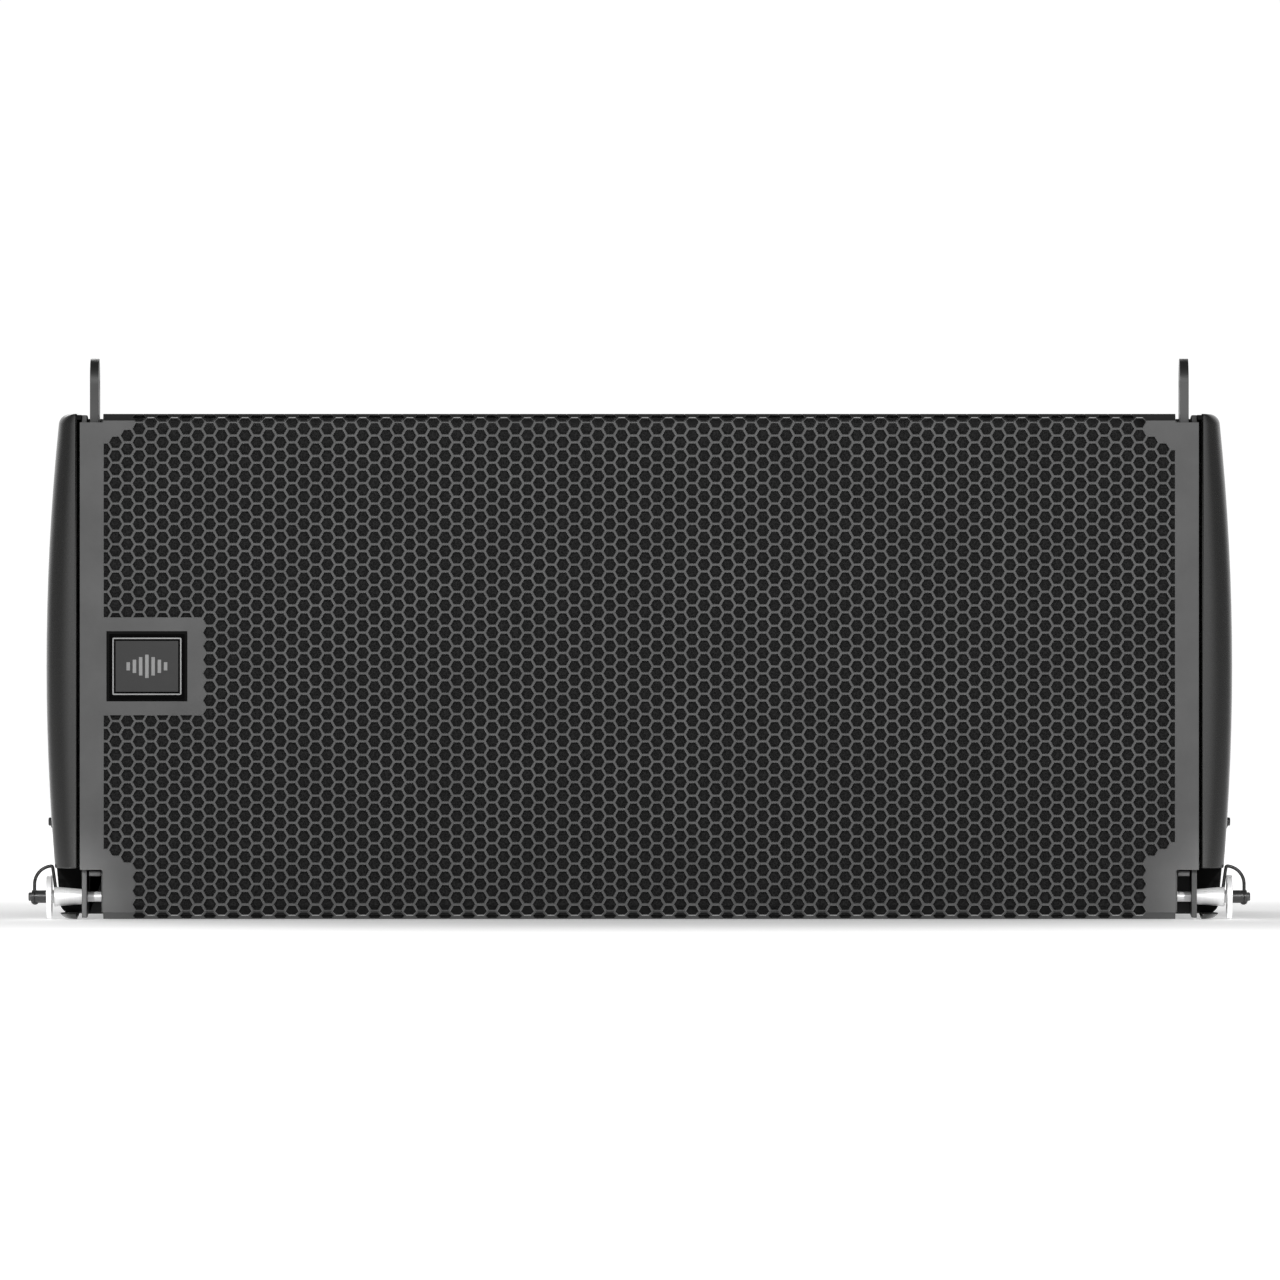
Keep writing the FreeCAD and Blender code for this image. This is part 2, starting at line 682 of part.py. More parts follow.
def woofer():
    lip = "baffle_front"
    frame = new_body()
    spin(frame, "y",
         [("cone_r + 10", "rim_front"), ("rim_r", "rim_front"), ("rim_r", lip), ("mouth_r - 2", lip),
          ("dish_r", "basket_rear - 4"), ("dish_r", "basket_rear"), ("coil_r + 14", "basket_rear"),
          ("coil_r + 14", "basket_rear - 4"), ("dish_r - 4", "basket_rear - 4"),
          ("cone_r + 10", "rim_front + 8")])
    window = frame.newObject("PartDesign::Pocket", "Window")
    window.Profile = sketch_in(frame, "y", "-(basket_rear - 14)",
                               [("-window_half", "window_in"), ("window_half", "window_in"),
                                ("window_half + window_flare", "window_out"),
                                ("-window_half - window_flare", "window_out")])
    window.setExpression("Length", bound("40"))
    window.Midplane = True
    doc.recompute()
    ring = frame.newObject("PartDesign::PolarPattern", "Windows")
    ring.Originals = [window]
    ring.Axis = (plane_of(frame, "Y_Axis"), [""])
    ring.Angle = 360
    ring.Occurrences = 6
    frame.Tip = ring
    place(frame, "woofer_x", "0", "woofer_z")
    finish(frame, "right_woofer_frame")
    mirrored("left_woofer_frame", frame)

    magnet = new_body()
    spin(magnet, "y",
         [("0", "basket_rear - 6"), ("coil_r - 1.5", "basket_rear - 6"), ("coil_r - 1.5", "magnet_rear - 10"),
          ("coil_r + 3", "magnet_rear - 10"), ("coil_r + 3", "basket_rear"), ("magnet_r", "basket_rear"),
          ("magnet_r", "magnet_rear"), ("0", "magnet_rear")])
    place(magnet, "woofer_x", "0", "woofer_z")
    finish(magnet, "right_woofer_magnet")
    mirrored("left_woofer_magnet", magnet)

    cone = new_body()
    spin(cone, "y",
         [("0", "cone_deep - 8"), ("coil_r", "cone_deep"), ("cone_r", "cone_front"),
          ("cone_r", "cone_front + 2"), ("coil_r + 1", "cone_deep + 3"), ("coil_r + 1", "former_rear"),
          ("coil_r", "former_rear"), ("coil_r", "cone_deep + 2"), ("0", "cone_deep - 6")])
    place(cone, "woofer_x", "0", "woofer_z")
    finish(cone, "right_woofer_cone")
    mirrored("left_woofer_cone", cone)

    surround = new_body()
    spin(surround, "y",
         [("cone_r + 0.3", "cone_front"), ("cone_r + 2.5", "cone_front - 3.5"),
          ("cone_r + 5", "cone_front - 5"), ("cone_r + 7.5", "cone_front - 3.5"),
          ("cone_r + 9.7", "cone_front"), ("cone_r + 9.7", "cone_front + 1"), ("cone_r + 8.5", "cone_front + 1"),
          ("cone_r + 6.7", "cone_front - 2.5"), ("cone_r + 5", "cone_front - 3.6"),
          ("cone_r + 3.3", "cone_front - 2.5"), ("cone_r + 1.5", "cone_front + 1"),
          ("cone_r + 0.3", "cone_front + 1")])
    place(surround, "woofer_x", "0", "woofer_z")
    finish(surround, "right_woofer_surround")
    mirrored("left_woofer_surround", surround)

    spider = new_body()
    crest = [(f"coil_r + 1.3 + 4 * {step}", f"spider_y + {(step % 2) * 2}") for step in range(10)]
    under = [(r, f"{y} + 0.8") for r, y in reversed(crest)]
    spin(spider, "y", crest + under)
    place(spider, "woofer_x", "0", "woofer_z")
    finish(spider, "right_woofer_spider")
    mirrored("left_woofer_spider", spider)

    template = screw("4.5", "2.6", "2.2", "14")
    places = []
    turns = []
    for sign in ("", "-"):
        for step in range(8):
            angle = math.radians(45 * step + 22.5)
            places.append((f"{sign}woofer_x + screw_ring * {math.cos(angle):.6f}", "rim_front",
                           f"woofer_z + screw_ring * {math.sin(angle):.6f}"))
            turns.append(((0, 0, 1), -90))
    group("woofer_screws", template, places, turns)


def high_frequency():
    horn = new_body()
    pad(horn, "z", "guide_low + 0.3", "guide_high - 0.3",
        [("-guide_half + 0.2", "baffle_front"), ("guide_half - 0.2", "baffle_front"),
         ("guide_half - 0.2", "baffle_rear"), ("14", "guide_rear"), ("-14", "guide_rear"),
         ("-guide_half + 0.2", "baffle_rear")])
    pad(horn, "y", "baffle_front - 3", "baffle_front",
        rectangle("-guide_half - horn_lip", "guide_half + horn_lip", "guide_low - 4", "guide_high + 4"))
    pad(horn, "y", "guide_rear", "guide_rear + 6",
        rectangle("-30", "30", "guide_low + 10", "guide_high - 10"))
    pocket(horn, "z", "guide_low + 3", "guide_high - 3",
           [("-guide_half + 3", "baffle_front - 4"), ("guide_half - 3", "baffle_front - 4"),
            ("guide_half - 3", "baffle_rear"), ("throat_half", "guide_rear - 8"),
            ("-throat_half", "guide_rear - 8"),
            ("-guide_half + 3", "baffle_rear")])
    pocket(horn, "y", "guide_rear - 9", "guide_rear + 7",
           circles=[("0", "driver_low", "throat_r"), ("0", "driver_high", "throat_r")])
    finish(horn, "waveguide")

    for label, height in (("lower", "driver_low"), ("upper", "driver_high")):
        driver = new_body()
        face = "guide_rear + 6"
        spin(driver, "y",
             [("throat_r", face), ("driver_r - 16", face), ("driver_r - 16", f"{face} + 10"),
              ("driver_r", f"{face} + 10"), ("driver_r", "driver_rear - 12"),
              ("driver_r - 14", "driver_rear - 12"), ("driver_r - 16", "driver_rear"),
              ("0", "driver_rear"), ("0", f"{face} + 14"), ("throat_r", f"{face} + 8")])
        place(driver, "0", "0", height)
        finish(driver, f"{label}_compression_driver")


# Amplifier module ------------------------------------------------------------------------

CONTROL_HOLES = {
    "knob": ("control_x + 26", "196"),
    "button": ("control_x + 26", "222"),
    "switch": ("control_x + 32", "92"),
}
SIGNAL_PLACES = [("control_x - 24", "150"), ("control_x + 4", "150")]
MAINS_PLACES = [("control_x - 26", "92"), ("control_x + 3", "92")]


def amplifier():
    rear = "back + amp_plate"
    plate = new_body()
    pad(plate, "y", "back", rear,
        rectangle("-amp_half - amp_rim", "amp_half + amp_rim", "amp_low - 8", "amp_high + 8"))
    knob_x, knob_z = CONTROL_HOLES["knob"]
    button_x, button_z = CONTROL_HOLES["button"]
    switch_x, switch_z = CONTROL_HOLES["switch"]
    sockets = [(x, z, "signal_r + 0.1") for x, z in SIGNAL_PLACES]
    sockets += [(x, z, "mains_r + 0.1") for x, z in MAINS_PLACES]
    pocket(plate, "y", "back - 1", f"{rear} + 1",
           circles=[(knob_x, knob_z, "3.2"), (button_x, button_z, "4.05")] + sockets)
    pocket(plate, "y", "back - 1", f"{rear} + 1",
           rectangle(f"{switch_x} - 6.4", f"{switch_x} + 6.4", f"{switch_z} - 9.8", f"{switch_z} + 9.8"))
    finish(plate, "amplifier_plate")

    sink = new_body()
    pad(sink, "y", rear, f"{rear} + sink_base", rectangle("sink_left", "sink_right", "amp_low", "amp_high"))
    fin = pad(sink, "y", f"{rear} + sink_base", "fin_tip",
              rectangle("sink_left", f"sink_left + {FIN_THICK}", "amp_low", "amp_high"))
    doc.recompute()
    fins = sink.newObject("PartDesign::LinearPattern", "Fins")
    fins.Originals = [fin]
    fins.Direction = (plane_of(sink, "X_Axis"), [""])
    fins.setExpression("Length", bound(f"sink_right - sink_left - {FIN_THICK}"))
    fins.setExpression("Occurrences", bound("fin_count"))
    sink.Tip = fins
    finish(sink, "heatsink")

    inner = new_body()
    pad(inner, "y", "back - amp_depth", "back",
        rectangle("-amp_half + 2", "amp_half - 2", "amp_low + 2", "amp_high - 2"))
    pocket(inner, "y", "back - amp_depth + 1.5", "back + 1",
           rectangle("-amp_half + 3.5", "amp_half - 3.5", "amp_low + 3.5", "amp_high - 3.5"))
    finish(inner, "amplifier_box")

    board = new_body()
    floor = "back - amp_depth + 8"
    pad(board, "y", floor, f"{floor} + 1.6",
        rectangle("-amp_half + 8", "amp_half - 8", "amp_low + 8", "amp_high - 8"))
    pad(board, "y", f"{floor} + 1.6", f"{floor} + 32",
        rectangle("-120", "-70", "amp_low + 20", "amp_low + 70"))
    pad(board, "y", f"{floor} + 1.6", f"{floor} + 26",
        circles=[(f"-{x}", z, "11") for x in ("40", "12") for z in ("90", "118", "146")])
    pad(board, "y", f"{floor} + 1.6", f"{floor} + 12",
        rectangle("20", "110", "amp_high - 60", "amp_high - 30"))
    finish(board, "amplifier_board")

    window = new_body()
    pad(window, "y", rear, f"{rear} + 1.5",
        rectangle("control_x - 38", "control_x + 8", "screen_low", "screen_high"))
    finish(window, "display_window")

    template = screw("4", "2.4", "1.9", "12")
    places = [(f"{sign}(amp_half + amp_rim / 2)", rear, z) for sign in ("", "-")
              for z in ("amp_low", "height / 2", "amp_high")]
    group("amplifier_screws", template, places, [((0, 0, 1), 90)] * len(places))

    def socket(radius, flange, pins):
        body = new_body()
        pad(body, "y", rear, f"{rear} + 2",
            rectangle(f"-{flange}", flange, f"-{flange} - 2", f"{flange} + 2"))
        pad(body, "y", "back - 16", rear, circles=[("0", "0", radius)])
        pocket(body, "y", "back - 13", f"{rear} + 3", circles=[("0", "0", f"{radius} - 2.2")])
        pad(body, "y", "back - 14", "back", circles=pins)
        return body

    def ring_of(count, reach, radius):
        turns = [2 * math.pi * step / count + math.pi / 2 for step in range(count)]
        return [(f"{reach * math.cos(turn):.4f}", f"{reach * math.sin(turn):.4f}", radius) for turn in turns]

    signal = socket("signal_r", "13", ring_of(3, 4.8, "1.2"))
    group("signal_sockets", signal, [(x, "0", z) for x, z in SIGNAL_PLACES])
    mains = socket("mains_r", "13.6", ring_of(3, 5.4, "2"))
    group("mains_sockets", mains, [(x, "0", z) for x, z in MAINS_PLACES])

    knob = new_body()
    spin(knob, "y", [("0", "back - 10"), ("3.13", "back - 10"), ("3.13", f"{rear} + 0.4"),
                     ("8.5", f"{rear} + 0.4"), ("8.5", f"{rear} + 2.4"), ("7.6", f"{rear} + 2.6"),
                     ("7.2", f"{rear} + 13"), ("6.2", f"{rear} + 14"), ("0", f"{rear} + 14")])
    place(knob, knob_x, "0", knob_z)
    finish(knob, "encoder_knob")

    button = new_body()
    spin(button, "y", [("0", "back - 4"), ("4", "back - 4"), ("4", f"{rear} + 2.6"), ("3.5", f"{rear} + 3"),
                       ("0", f"{rear} + 3")])
    place(button, button_x, "0", button_z)
    finish(button, "menu_button")

    rocker = new_body()
    pad(rocker, "x", "-6", "6", [("-5", "-8"), ("amp_plate + 3.4", "-9"), ("amp_plate + 2", "0"),
                                  ("amp_plate + 3.4", "9"), ("-5", "8")])
    pad(rocker, "x", "-6.35", "6.35", circles=[("0", "0", "1.2")])
    rocker.Placement.Rotation = FreeCAD.Rotation(FreeCAD.Vector(1, 0, 0), -number("rock"))
    place(rocker, switch_x, "back - 1", switch_z)
    finish(rocker, "power_switch")


def check_and_write():
    doc.recompute()
    for item in doc.Objects:
        bad = [state for state in item.State if state in NOT_OK]
        if bad:
            raise RuntimeError(f"{item.Name} ({item.Label}) is {bad}")
    for item in parts:
        if item.Shape.isNull() or not item.Shape.isValid() or not item.Shape.Solids:
            raise RuntimeError(f"{item.Label} has no valid solid")
    os.makedirs("parts", exist_ok=True)
    whole = FreeCAD.BoundBox()
    for item in parts:
        item.Shape.exportStep(f"parts/{item.Label}.step")
        whole.add(item.Shape.BoundBox)
        print(f"{item.Label}: {len(item.Shape.Solids)} solid(s), {item.Shape.Volume / 1000:.2f} cm3")
    print(f"{len(parts)} nodes, box {whole}")


cabinet()
grille()
badge()
side_pod()
rigging_rail()
link_and_arm()
quick_pin("front", "link_y", "pin_front_z")
quick_pin("rear", "arm_y", "pin_rear_z")
woofer()
high_frequency()
amplifier()
check_and_write()
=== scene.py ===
"""Line array speaker: the looks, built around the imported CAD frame. Lengths are metres.

The front faces -Y. Pieces are built on the right (+X) and mirrored to the left where they repeat.
"""
import json
import math
import random

import bmesh
import bpy
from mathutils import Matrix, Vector
from mathutils.geometry import delaunay_2d_cdt


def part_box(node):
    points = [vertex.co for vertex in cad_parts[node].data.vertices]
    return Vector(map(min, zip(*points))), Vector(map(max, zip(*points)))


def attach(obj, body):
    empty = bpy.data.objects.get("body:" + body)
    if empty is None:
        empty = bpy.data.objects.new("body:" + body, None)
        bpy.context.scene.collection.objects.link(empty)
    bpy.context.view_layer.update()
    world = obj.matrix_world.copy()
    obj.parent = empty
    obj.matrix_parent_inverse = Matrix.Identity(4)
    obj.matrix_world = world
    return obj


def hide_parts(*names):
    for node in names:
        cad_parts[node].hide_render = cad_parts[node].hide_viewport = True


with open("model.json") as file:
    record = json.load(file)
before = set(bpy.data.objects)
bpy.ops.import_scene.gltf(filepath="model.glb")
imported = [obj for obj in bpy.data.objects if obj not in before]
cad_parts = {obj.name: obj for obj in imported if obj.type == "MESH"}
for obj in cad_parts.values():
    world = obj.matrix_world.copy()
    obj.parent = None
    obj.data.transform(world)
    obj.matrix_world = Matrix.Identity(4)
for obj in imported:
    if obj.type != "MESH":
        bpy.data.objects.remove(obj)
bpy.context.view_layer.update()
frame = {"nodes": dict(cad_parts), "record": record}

MM = 0.001
SIDES = {"right": 1, "left": -1}
CORNERS = [(1, 1), (-1, 1), (-1, -1), (1, -1)]
SHARP = math.radians(30)
random.seed(7)


# Small helpers ---------------------------------------------------------------------------

def mesh_object(name, verts, faces, body, material, replaces=(), smooth=False):
    """A mesh piece that rides on a body and takes a record slot and a material."""
    mesh = bpy.data.meshes.new(name)
    mesh.from_pydata([tuple(v) for v in verts], [], faces)
    mesh.validate()
    return finish_piece(name, mesh, body, material, replaces, smooth)


def finish_piece(name, mesh, body, material, replaces=(), smooth=False):
    piece = bpy.data.objects.new(name, mesh)
    bpy.context.scene.collection.objects.link(piece)
    mesh.materials.append(material)
    for face in mesh.polygons:
        face.use_smooth = smooth
    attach(piece, body)
    if replaces:
        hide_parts(*replaces)
    return piece


def recalculated(piece):
    """Make every face of a closed piece point outwards."""
    work = bmesh.new()
    work.from_mesh(piece.data)
    bmesh.ops.recalc_face_normals(work, faces=work.faces)
    work.to_mesh(piece.data)
    work.free()
    return piece


def bevel(piece, width, segments=2):
    """Round the sharp edges of a piece, and return the modifier that does it."""
    rounding = piece.modifiers.new("Rounding", "BEVEL")
    rounding.width = width
    rounding.segments = segments
    rounding.limit_method = "ANGLE"
    rounding.angle_limit = SHARP
    rounding.use_clamp_overlap = False
    even = piece.modifiers.new("Even normals", "WEIGHTED_NORMAL")
    even.weight = 80
    return rounding


def soften(node, width, segments=2):
    """Round a CAD node's edges: join its faces, clear its flat triangles, then bevel."""
    joined = node.modifiers.new("Join", "WELD")
    joined.merge_threshold = 0.002 * MM
    flat = node.modifiers.new("Flat faces", "DECIMATE")
    flat.decimate_type = "DISSOLVE"
    flat.angle_limit = math.radians(0.5)
    bevel(node, width, segments)


def turned(name, profile, hub, axis, body, material, replaces=(), steps=48, flutes=0.0):
    """A piece turned about an axis through the hub, from (station, radius) in millimetres."""
    along = Vector(axis)
    up = Vector((0.0, 0.0, 1.0))
    side = along.cross(up)
    verts = []
    for station, radius in profile:
        for step in range(steps):
            angle = 2 * math.pi * step / steps
            reach = radius * (1 - flutes * (step % 2))
            outwards = up * math.cos(angle) + side * math.sin(angle)
            verts.append(hub + (along * station + outwards * reach) * MM)
    faces = [list(range(steps)), list(range((len(profile) - 1) * steps, len(profile) * steps))]
    for ring in range(len(profile) - 1):
        for step in range(steps):
            after = (step + 1) % steps
            faces.append([ring * steps + step, ring * steps + after,
                          (ring + 1) * steps + after, (ring + 1) * steps + step])
    return recalculated(mesh_object(name, verts, faces, body, material, replaces, smooth=True))


def stepped(name, middle, size, profile, corner, closed, body, material, replaces=()):
    """A rectangular moulding facing -Y, from (inset, depth) steps in millimetres.

    A closed profile makes a ring. An open one is capped at both ends.
    """
    around = 5
    verts = []
    for inset, depth in profile:
        half = Vector((size[0] / 2 - inset, size[1] / 2 - inset))
        radius = max(corner - inset, 0.15)
        for quarter in range(4):
            centre = [sign * (edge - radius) for sign, edge in zip(CORNERS[quarter], half)]
            for step in range(around):
                angle = math.radians(90 * quarter + 90 * step / (around - 1))
                x = centre[0] + radius * math.cos(angle)
                z = centre[1] + radius * math.sin(angle)
                verts.append(middle + Vector((x, depth, z)) * MM)
    loop = 4 * around
    count = len(profile)
    faces = []
    for ring in range(count if closed else count - 1):
        other = (ring + 1) % count
        for step in range(loop):
            after = (step + 1) % loop
            faces.append([ring * loop + step, ring * loop + after, other * loop + after, other * loop + step])
    if not closed:
        faces += [list(range(loop)), list(range((count - 1) * loop, count * loop))]
    return recalculated(mesh_object(name, verts, faces, body, material, replaces))


# Materials -------------------------------------------------------------------------------

def new_material(name):
    """A node material: its tree, its Principled shader and object coordinates in metres."""
    material = bpy.data.materials.new(name)
    material.use_nodes = True
    tree = material.node_tree
    shader = next(node for node in tree.nodes if node.type == "BSDF_PRINCIPLED")
    place = tree.nodes.new("ShaderNodeTexCoord")
    return material, tree, shader, place.outputs["Object"]


def noise(tree, place, scale, detail=4.0, roughness=0.6):
    node = tree.nodes.new("ShaderNodeTexNoise")
    node.inputs["Scale"].default_value = scale
    node.inputs["Detail"].default_value = detail
    node.inputs["Roughness"].default_value = roughness
    tree.links.new(place, node.inputs["Vector"])
    return node.outputs["Fac"]


def ramp(tree, value, stops):
    """A colour ramp from (position, colour) stops."""
    node = tree.nodes.new("ShaderNodeValToRGB")
    band = node.color_ramp
    while len(band.elements) < len(stops):
        band.elements.new(0.5)
    for element, (position, colour) in zip(band.elements, stops):
        element.position = position
        element.color = (*colour, 1.0)
    tree.links.new(value, node.inputs["Fac"])
    return node.outputs["Color"]


def span(tree, value, low, high):
    """A 0..1 value remapped to a range."""
    node = tree.nodes.new("ShaderNodeMapRange")
    node.inputs["To Min"].default_value = low
    node.inputs["To Max"].default_value = high
    tree.links.new(value, node.inputs["Value"])
    return node.outputs["Result"]


def bump(tree, shader, height, strength, distance):
    node = tree.nodes.new("ShaderNodeBump")
    node.inputs["Strength"].default_value = strength
    node.inputs["Distance"].default_value = distance
    tree.links.new(height, node.inputs["Height"])
    tree.links.new(node.outputs["Normal"], shader.inputs["Normal"])


def edge_wear(tree, low, high):
    """White where an edge is sharp, from the surface's own pointiness."""
    node = tree.nodes.new("ShaderNodeNewGeometry")
    stretch = tree.nodes.new("ShaderNodeMapRange")
    stretch.inputs["From Min"].default_value = low
    stretch.inputs["From Max"].default_value = high
    tree.links.new(node.outputs["Pointiness"], stretch.inputs["Value"])
    return stretch.outputs["Result"]


def mix_colour(tree, factor, first, second):
    node = tree.nodes.new("ShaderNodeMix")
    node.data_type = "RGBA"
    tree.links.new(factor, node.inputs["Factor"])
    for socket, colour in (("A", first), ("B", second)):
        target = next(s for s in node.inputs if s.name == socket and s.type == "RGBA")
        if hasattr(colour, "links"):
            tree.links.new(colour, target)
        else:
            target.default_value = (*colour, 1.0)
    return next(s for s in node.outputs if s.type == "RGBA")


def coated(name, tone, grain, roughness, depth, wear=None, metallic=0.0, tint=(1.0, 1.0, 1.0), gloss=0.5):
    """Powder coat, paint or moulded plastic: fine grain, slight mottling and worn edges."""
    material, tree, shader, place = new_material(name)
    colour = [tone * channel for channel in tint]
    mottle = noise(tree, place, 35.0, 5.0)
    shade = ramp(tree, mottle, [(0.3, [c * 0.9 for c in colour]), (0.7, [c * 1.08 for c in colour])])
    if wear:
        shade = mix_colour(tree, edge_wear(tree, 0.53, 0.62), shade, [wear * channel for channel in tint])
    tree.links.new(shade, shader.inputs["Base Color"])
    fine = noise(tree, place, grain, 3.0)
    tree.links.new(span(tree, fine, roughness - 0.06, roughness + 0.08), shader.inputs["Roughness"])
    shader.inputs["Metallic"].default_value = metallic
    shader.inputs["Specular IOR Level"].default_value = gloss
    bump(tree, shader, fine, 0.35, depth)
    return material


def turned_metal(name, tone, roughness, metallic=1.0):
    """Turned or brushed metal: fine lines round the X axis."""
    material, tree, shader, place = new_material(name)
    stretch = tree.nodes.new("ShaderNodeMapping")
    stretch.inputs["Scale"].default_value = (9000.0, 60.0, 60.0)
    tree.links.new(place, stretch.inputs["Vector"])
    lines = noise(tree, stretch.outputs["Vector"], 1.0, 2.0)
    shade = ramp(tree, lines, [(0.3, [tone * 0.86] * 3), (0.7, [tone] * 3)])
    tree.links.new(shade, shader.inputs["Base Color"])
    tree.links.new(span(tree, lines, roughness - 0.05, roughness + 0.08), shader.inputs["Roughness"])
    shader.inputs["Metallic"].default_value = metallic
    bump(tree, shader, lines, 0.1, 0.00001)
    return material


def foam_material():
    """Open-cell foam: a web of small pores, almost black."""
    material, tree, shader, place = new_material("acoustic_foam")
    pores = tree.nodes.new("ShaderNodeTexVoronoi")
    pores.inputs["Scale"].default_value = 900.0
    tree.links.new(place, pores.inputs["Vector"])
    shade = ramp(tree, pores.outputs["Distance"], [(0.15, (0.002,) * 3), (0.75, (0.02,) * 3)])
    tree.links.new(shade, shader.inputs["Base Color"])
    shader.inputs["Roughness"].default_value = 0.95
    bump(tree, shader, pores.outputs["Distance"], 0.8, 0.0006)
    return material


def circuit_material():
    """A green board with a faint net of copper tracks."""
    material, tree, shader, place = new_material("circuit_board")
    tracks = tree.nodes.new("ShaderNodeTexBrick")
    tracks.inputs["Scale"].default_value = 160.0
    tracks.inputs["Color1"].default_value = (0.01, 0.09, 0.03, 1.0)
    tracks.inputs["Color2"].default_value = (0.012, 0.12, 0.04, 1.0)
    tracks.inputs["Mortar"].default_value = (0.05, 0.2, 0.08, 1.0)
    tree.links.new(place, tracks.inputs["Vector"])
    tree.links.new(tracks.outputs["Color"], shader.inputs["Base Color"])
    tree.links.new(span(tree, noise(tree, place, 220.0), 0.3, 0.5), shader.inputs["Roughness"])
    return material


MATERIALS = {
    "grille_steel": coated("grille_powder_coat", 0.12, 2600.0, 0.4, 0.00004, metallic=0.8),
    # A lighter copy of the grille's coat for the holes' sloped rims: painted highlight, as if the rims catch
    # the light.
    "grille_rims": coated("grille_rims_painted_highlight", 0.34, 2600.0, 0.4, 0.00003, metallic=0.8),
    "foam": foam_material(),
    "painted_wood": coated("textured_cabinet_paint", 0.018, 700.0, 0.55, 0.00045, wear=0.04),
    "pod_plastic": coated("moulded_pod_plastic", 0.011, 1500.0, 0.25, 0.00003, wear=0.025,
                          tint=(1.0, 1.0, 0.94), gloss=0.88),
    # Near-black painted shade for the inside of the pin recess and for the pod's top lip.
    "pod_recess": coated("pod_recess_painted_shade", 0.008, 1500.0, 0.7, 0.00005, gloss=0.1),
    "rail_steel": coated("rail_powder_coat", 0.032, 2200.0, 0.45, 0.00005, wear=0.2, metallic=0.8),
    "link_steel": coated("link_powder_coat", 0.085, 2200.0, 0.42, 0.00005, wear=0.24, metallic=0.8),
    "pin_steel": turned_metal("turned_steel", 0.95, 0.33, metallic=0.3),
    "pin_button": coated("pin_stub_black", 0.007, 2500.0, 0.3, 0.00004, wear=0.12),
    "loop_wire": coated("coated_wire", 0.006, 4000.0, 0.35, 0.00003),
    "black_screws": coated("black_zinc", 0.03, 3000.0, 0.38, 0.00003, wear=0.3, metallic=0.7),
    # Near-black painted shade for the floor of the badge's recess and for the groove round its plate.
    "badge_frame": coated("badge_recess_painted_shade", 0.002, 3000.0, 0.5, 0.00002, gloss=0.03),
    "badge_face": coated("badge_plate_grey", 0.034, 3000.0, 0.5, 0.00003),
    "badge_rim": coated("badge_rim_black", 0.003, 3000.0, 0.35, 0.00002, gloss=0.12),
    "badge_light": coated("badge_bars_silver", 0.32, 3000.0, 0.45, 0.00002, metallic=0.5),
    "badge_line": coated("badge_outline_grey", 0.42, 3000.0, 0.45, 0.00002, metallic=0.5),
    "driver_frame": coated("driver_casting", 0.02, 900.0, 0.5, 0.0002, wear=0.08),
    "magnet": coated("ferrite", 0.05, 500.0, 0.6, 0.0003, metallic=0.4),
    "cone": coated("pulp_cone", 0.018, 1200.0, 0.85, 0.0003),
    "surround": coated("surround_cloth", 0.012, 1800.0, 0.8, 0.0003),
    "spider": coated("spider_cloth", 0.3, 1800.0, 0.9, 0.0003, tint=(1.0, 0.7, 0.35)),
    "horn_plastic": coated("waveguide_plastic", 0.015, 1500.0, 0.45, 0.0001),
    "driver_metal": coated("die_cast", 0.25, 900.0, 0.45, 0.0002, metallic=0.8),
    "amp_panel": coated("amplifier_powder_coat", 0.02, 2000.0, 0.55, 0.0001, wear=0.07),
    "heatsink_metal": coated("black_anodised", 0.02, 2500.0, 0.4, 0.00005, wear=0.2, metallic=0.6),
    "amp_sheet": turned_metal("folded_aluminium", 0.7, 0.35),
    "board": circuit_material(),
    "window": coated("tinted_window", 0.008, 4000.0, 0.12, 0.00001),
    "socket": coated("socket_plastic", 0.015, 2000.0, 0.45, 0.00006),
    "mains_socket": coated("mains_socket_plastic", 0.04, 2000.0, 0.45, 0.00006, tint=(0.25, 0.5, 1.0)),
    "knob": coated("soft_touch", 0.018, 2500.0, 0.6, 0.00005),
    "switch": coated("rocker_plastic", 0.012, 3500.0, 0.25, 0.00002),
}
EDGE_ROUNDING = {
    "painted_wood": 0.6 * MM,
    "rail_steel": 0.35 * MM,
    "link_steel": 0.15 * MM,
    "amp_panel": 0.4 * MM,
    "heatsink_metal": 0.35 * MM,
    "window": 0.3 * MM,
    "switch": 0.4 * MM,
    "socket": 0.3 * MM,
    "mains_socket": 0.3 * MM,
    "black_screws": 0.2 * MM,
}


def dress_cad_nodes():
    """Every CAD node gets the material of its slot, and those in view get rounded edges."""
    for row in frame["record"]["subparts"]:
        node = frame["nodes"][row["node"]]
        slot = row["material_slot"]
        if not node.material_slots:
            node.data.materials.append(MATERIALS[slot])
        for place in node.material_slots:
            place.material = MATERIALS[slot]
        if slot in EDGE_ROUNDING:
            soften(node, EDGE_ROUNDING[slot])


# Grille ----------------------------------------------------------------------------------

GRILLE_LOW, GRILLE_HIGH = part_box("grille")
FRONT = GRILLE_LOW.y
HEIGHT = GRILLE_HIGH.z
MIDDLE = HEIGHT / 2
GRILLE_HALF = GRILLE_HIGH.x
RETURN_END = GRILLE_HIGH.y
SHEET = 1.5 * MM
FOLD = 4 * MM
STRIP_LOW = 29.2 * MM
STRIP_HIGH = HEIGHT - 5.1 * MM
FOLD_HALF = 318.4 * MM
ROW_PITCH = 8.07 * MM
COLUMN_PITCH = ROW_PITCH * math.cos(math.radians(30))
COLUMNS = 92
HOLE_FLATS = 6.5 * MM
RIM_FLATS = 7.2 * MM
RIM_DEPTH = 0.4 * MM
HOLE_EDGE = FOLD_HALF - 0.3 * MM
HALF_ROWS = 18
SOLID_FROM = 301 * MM
CORNER_SLOPE = 0.577
CORNER_TOP = 465.4 * MM
CORNER_BOTTOM = 141.3 * MM
PATCH_ASIDE = 10 * MM
PATCH_HALF = 29 * MM


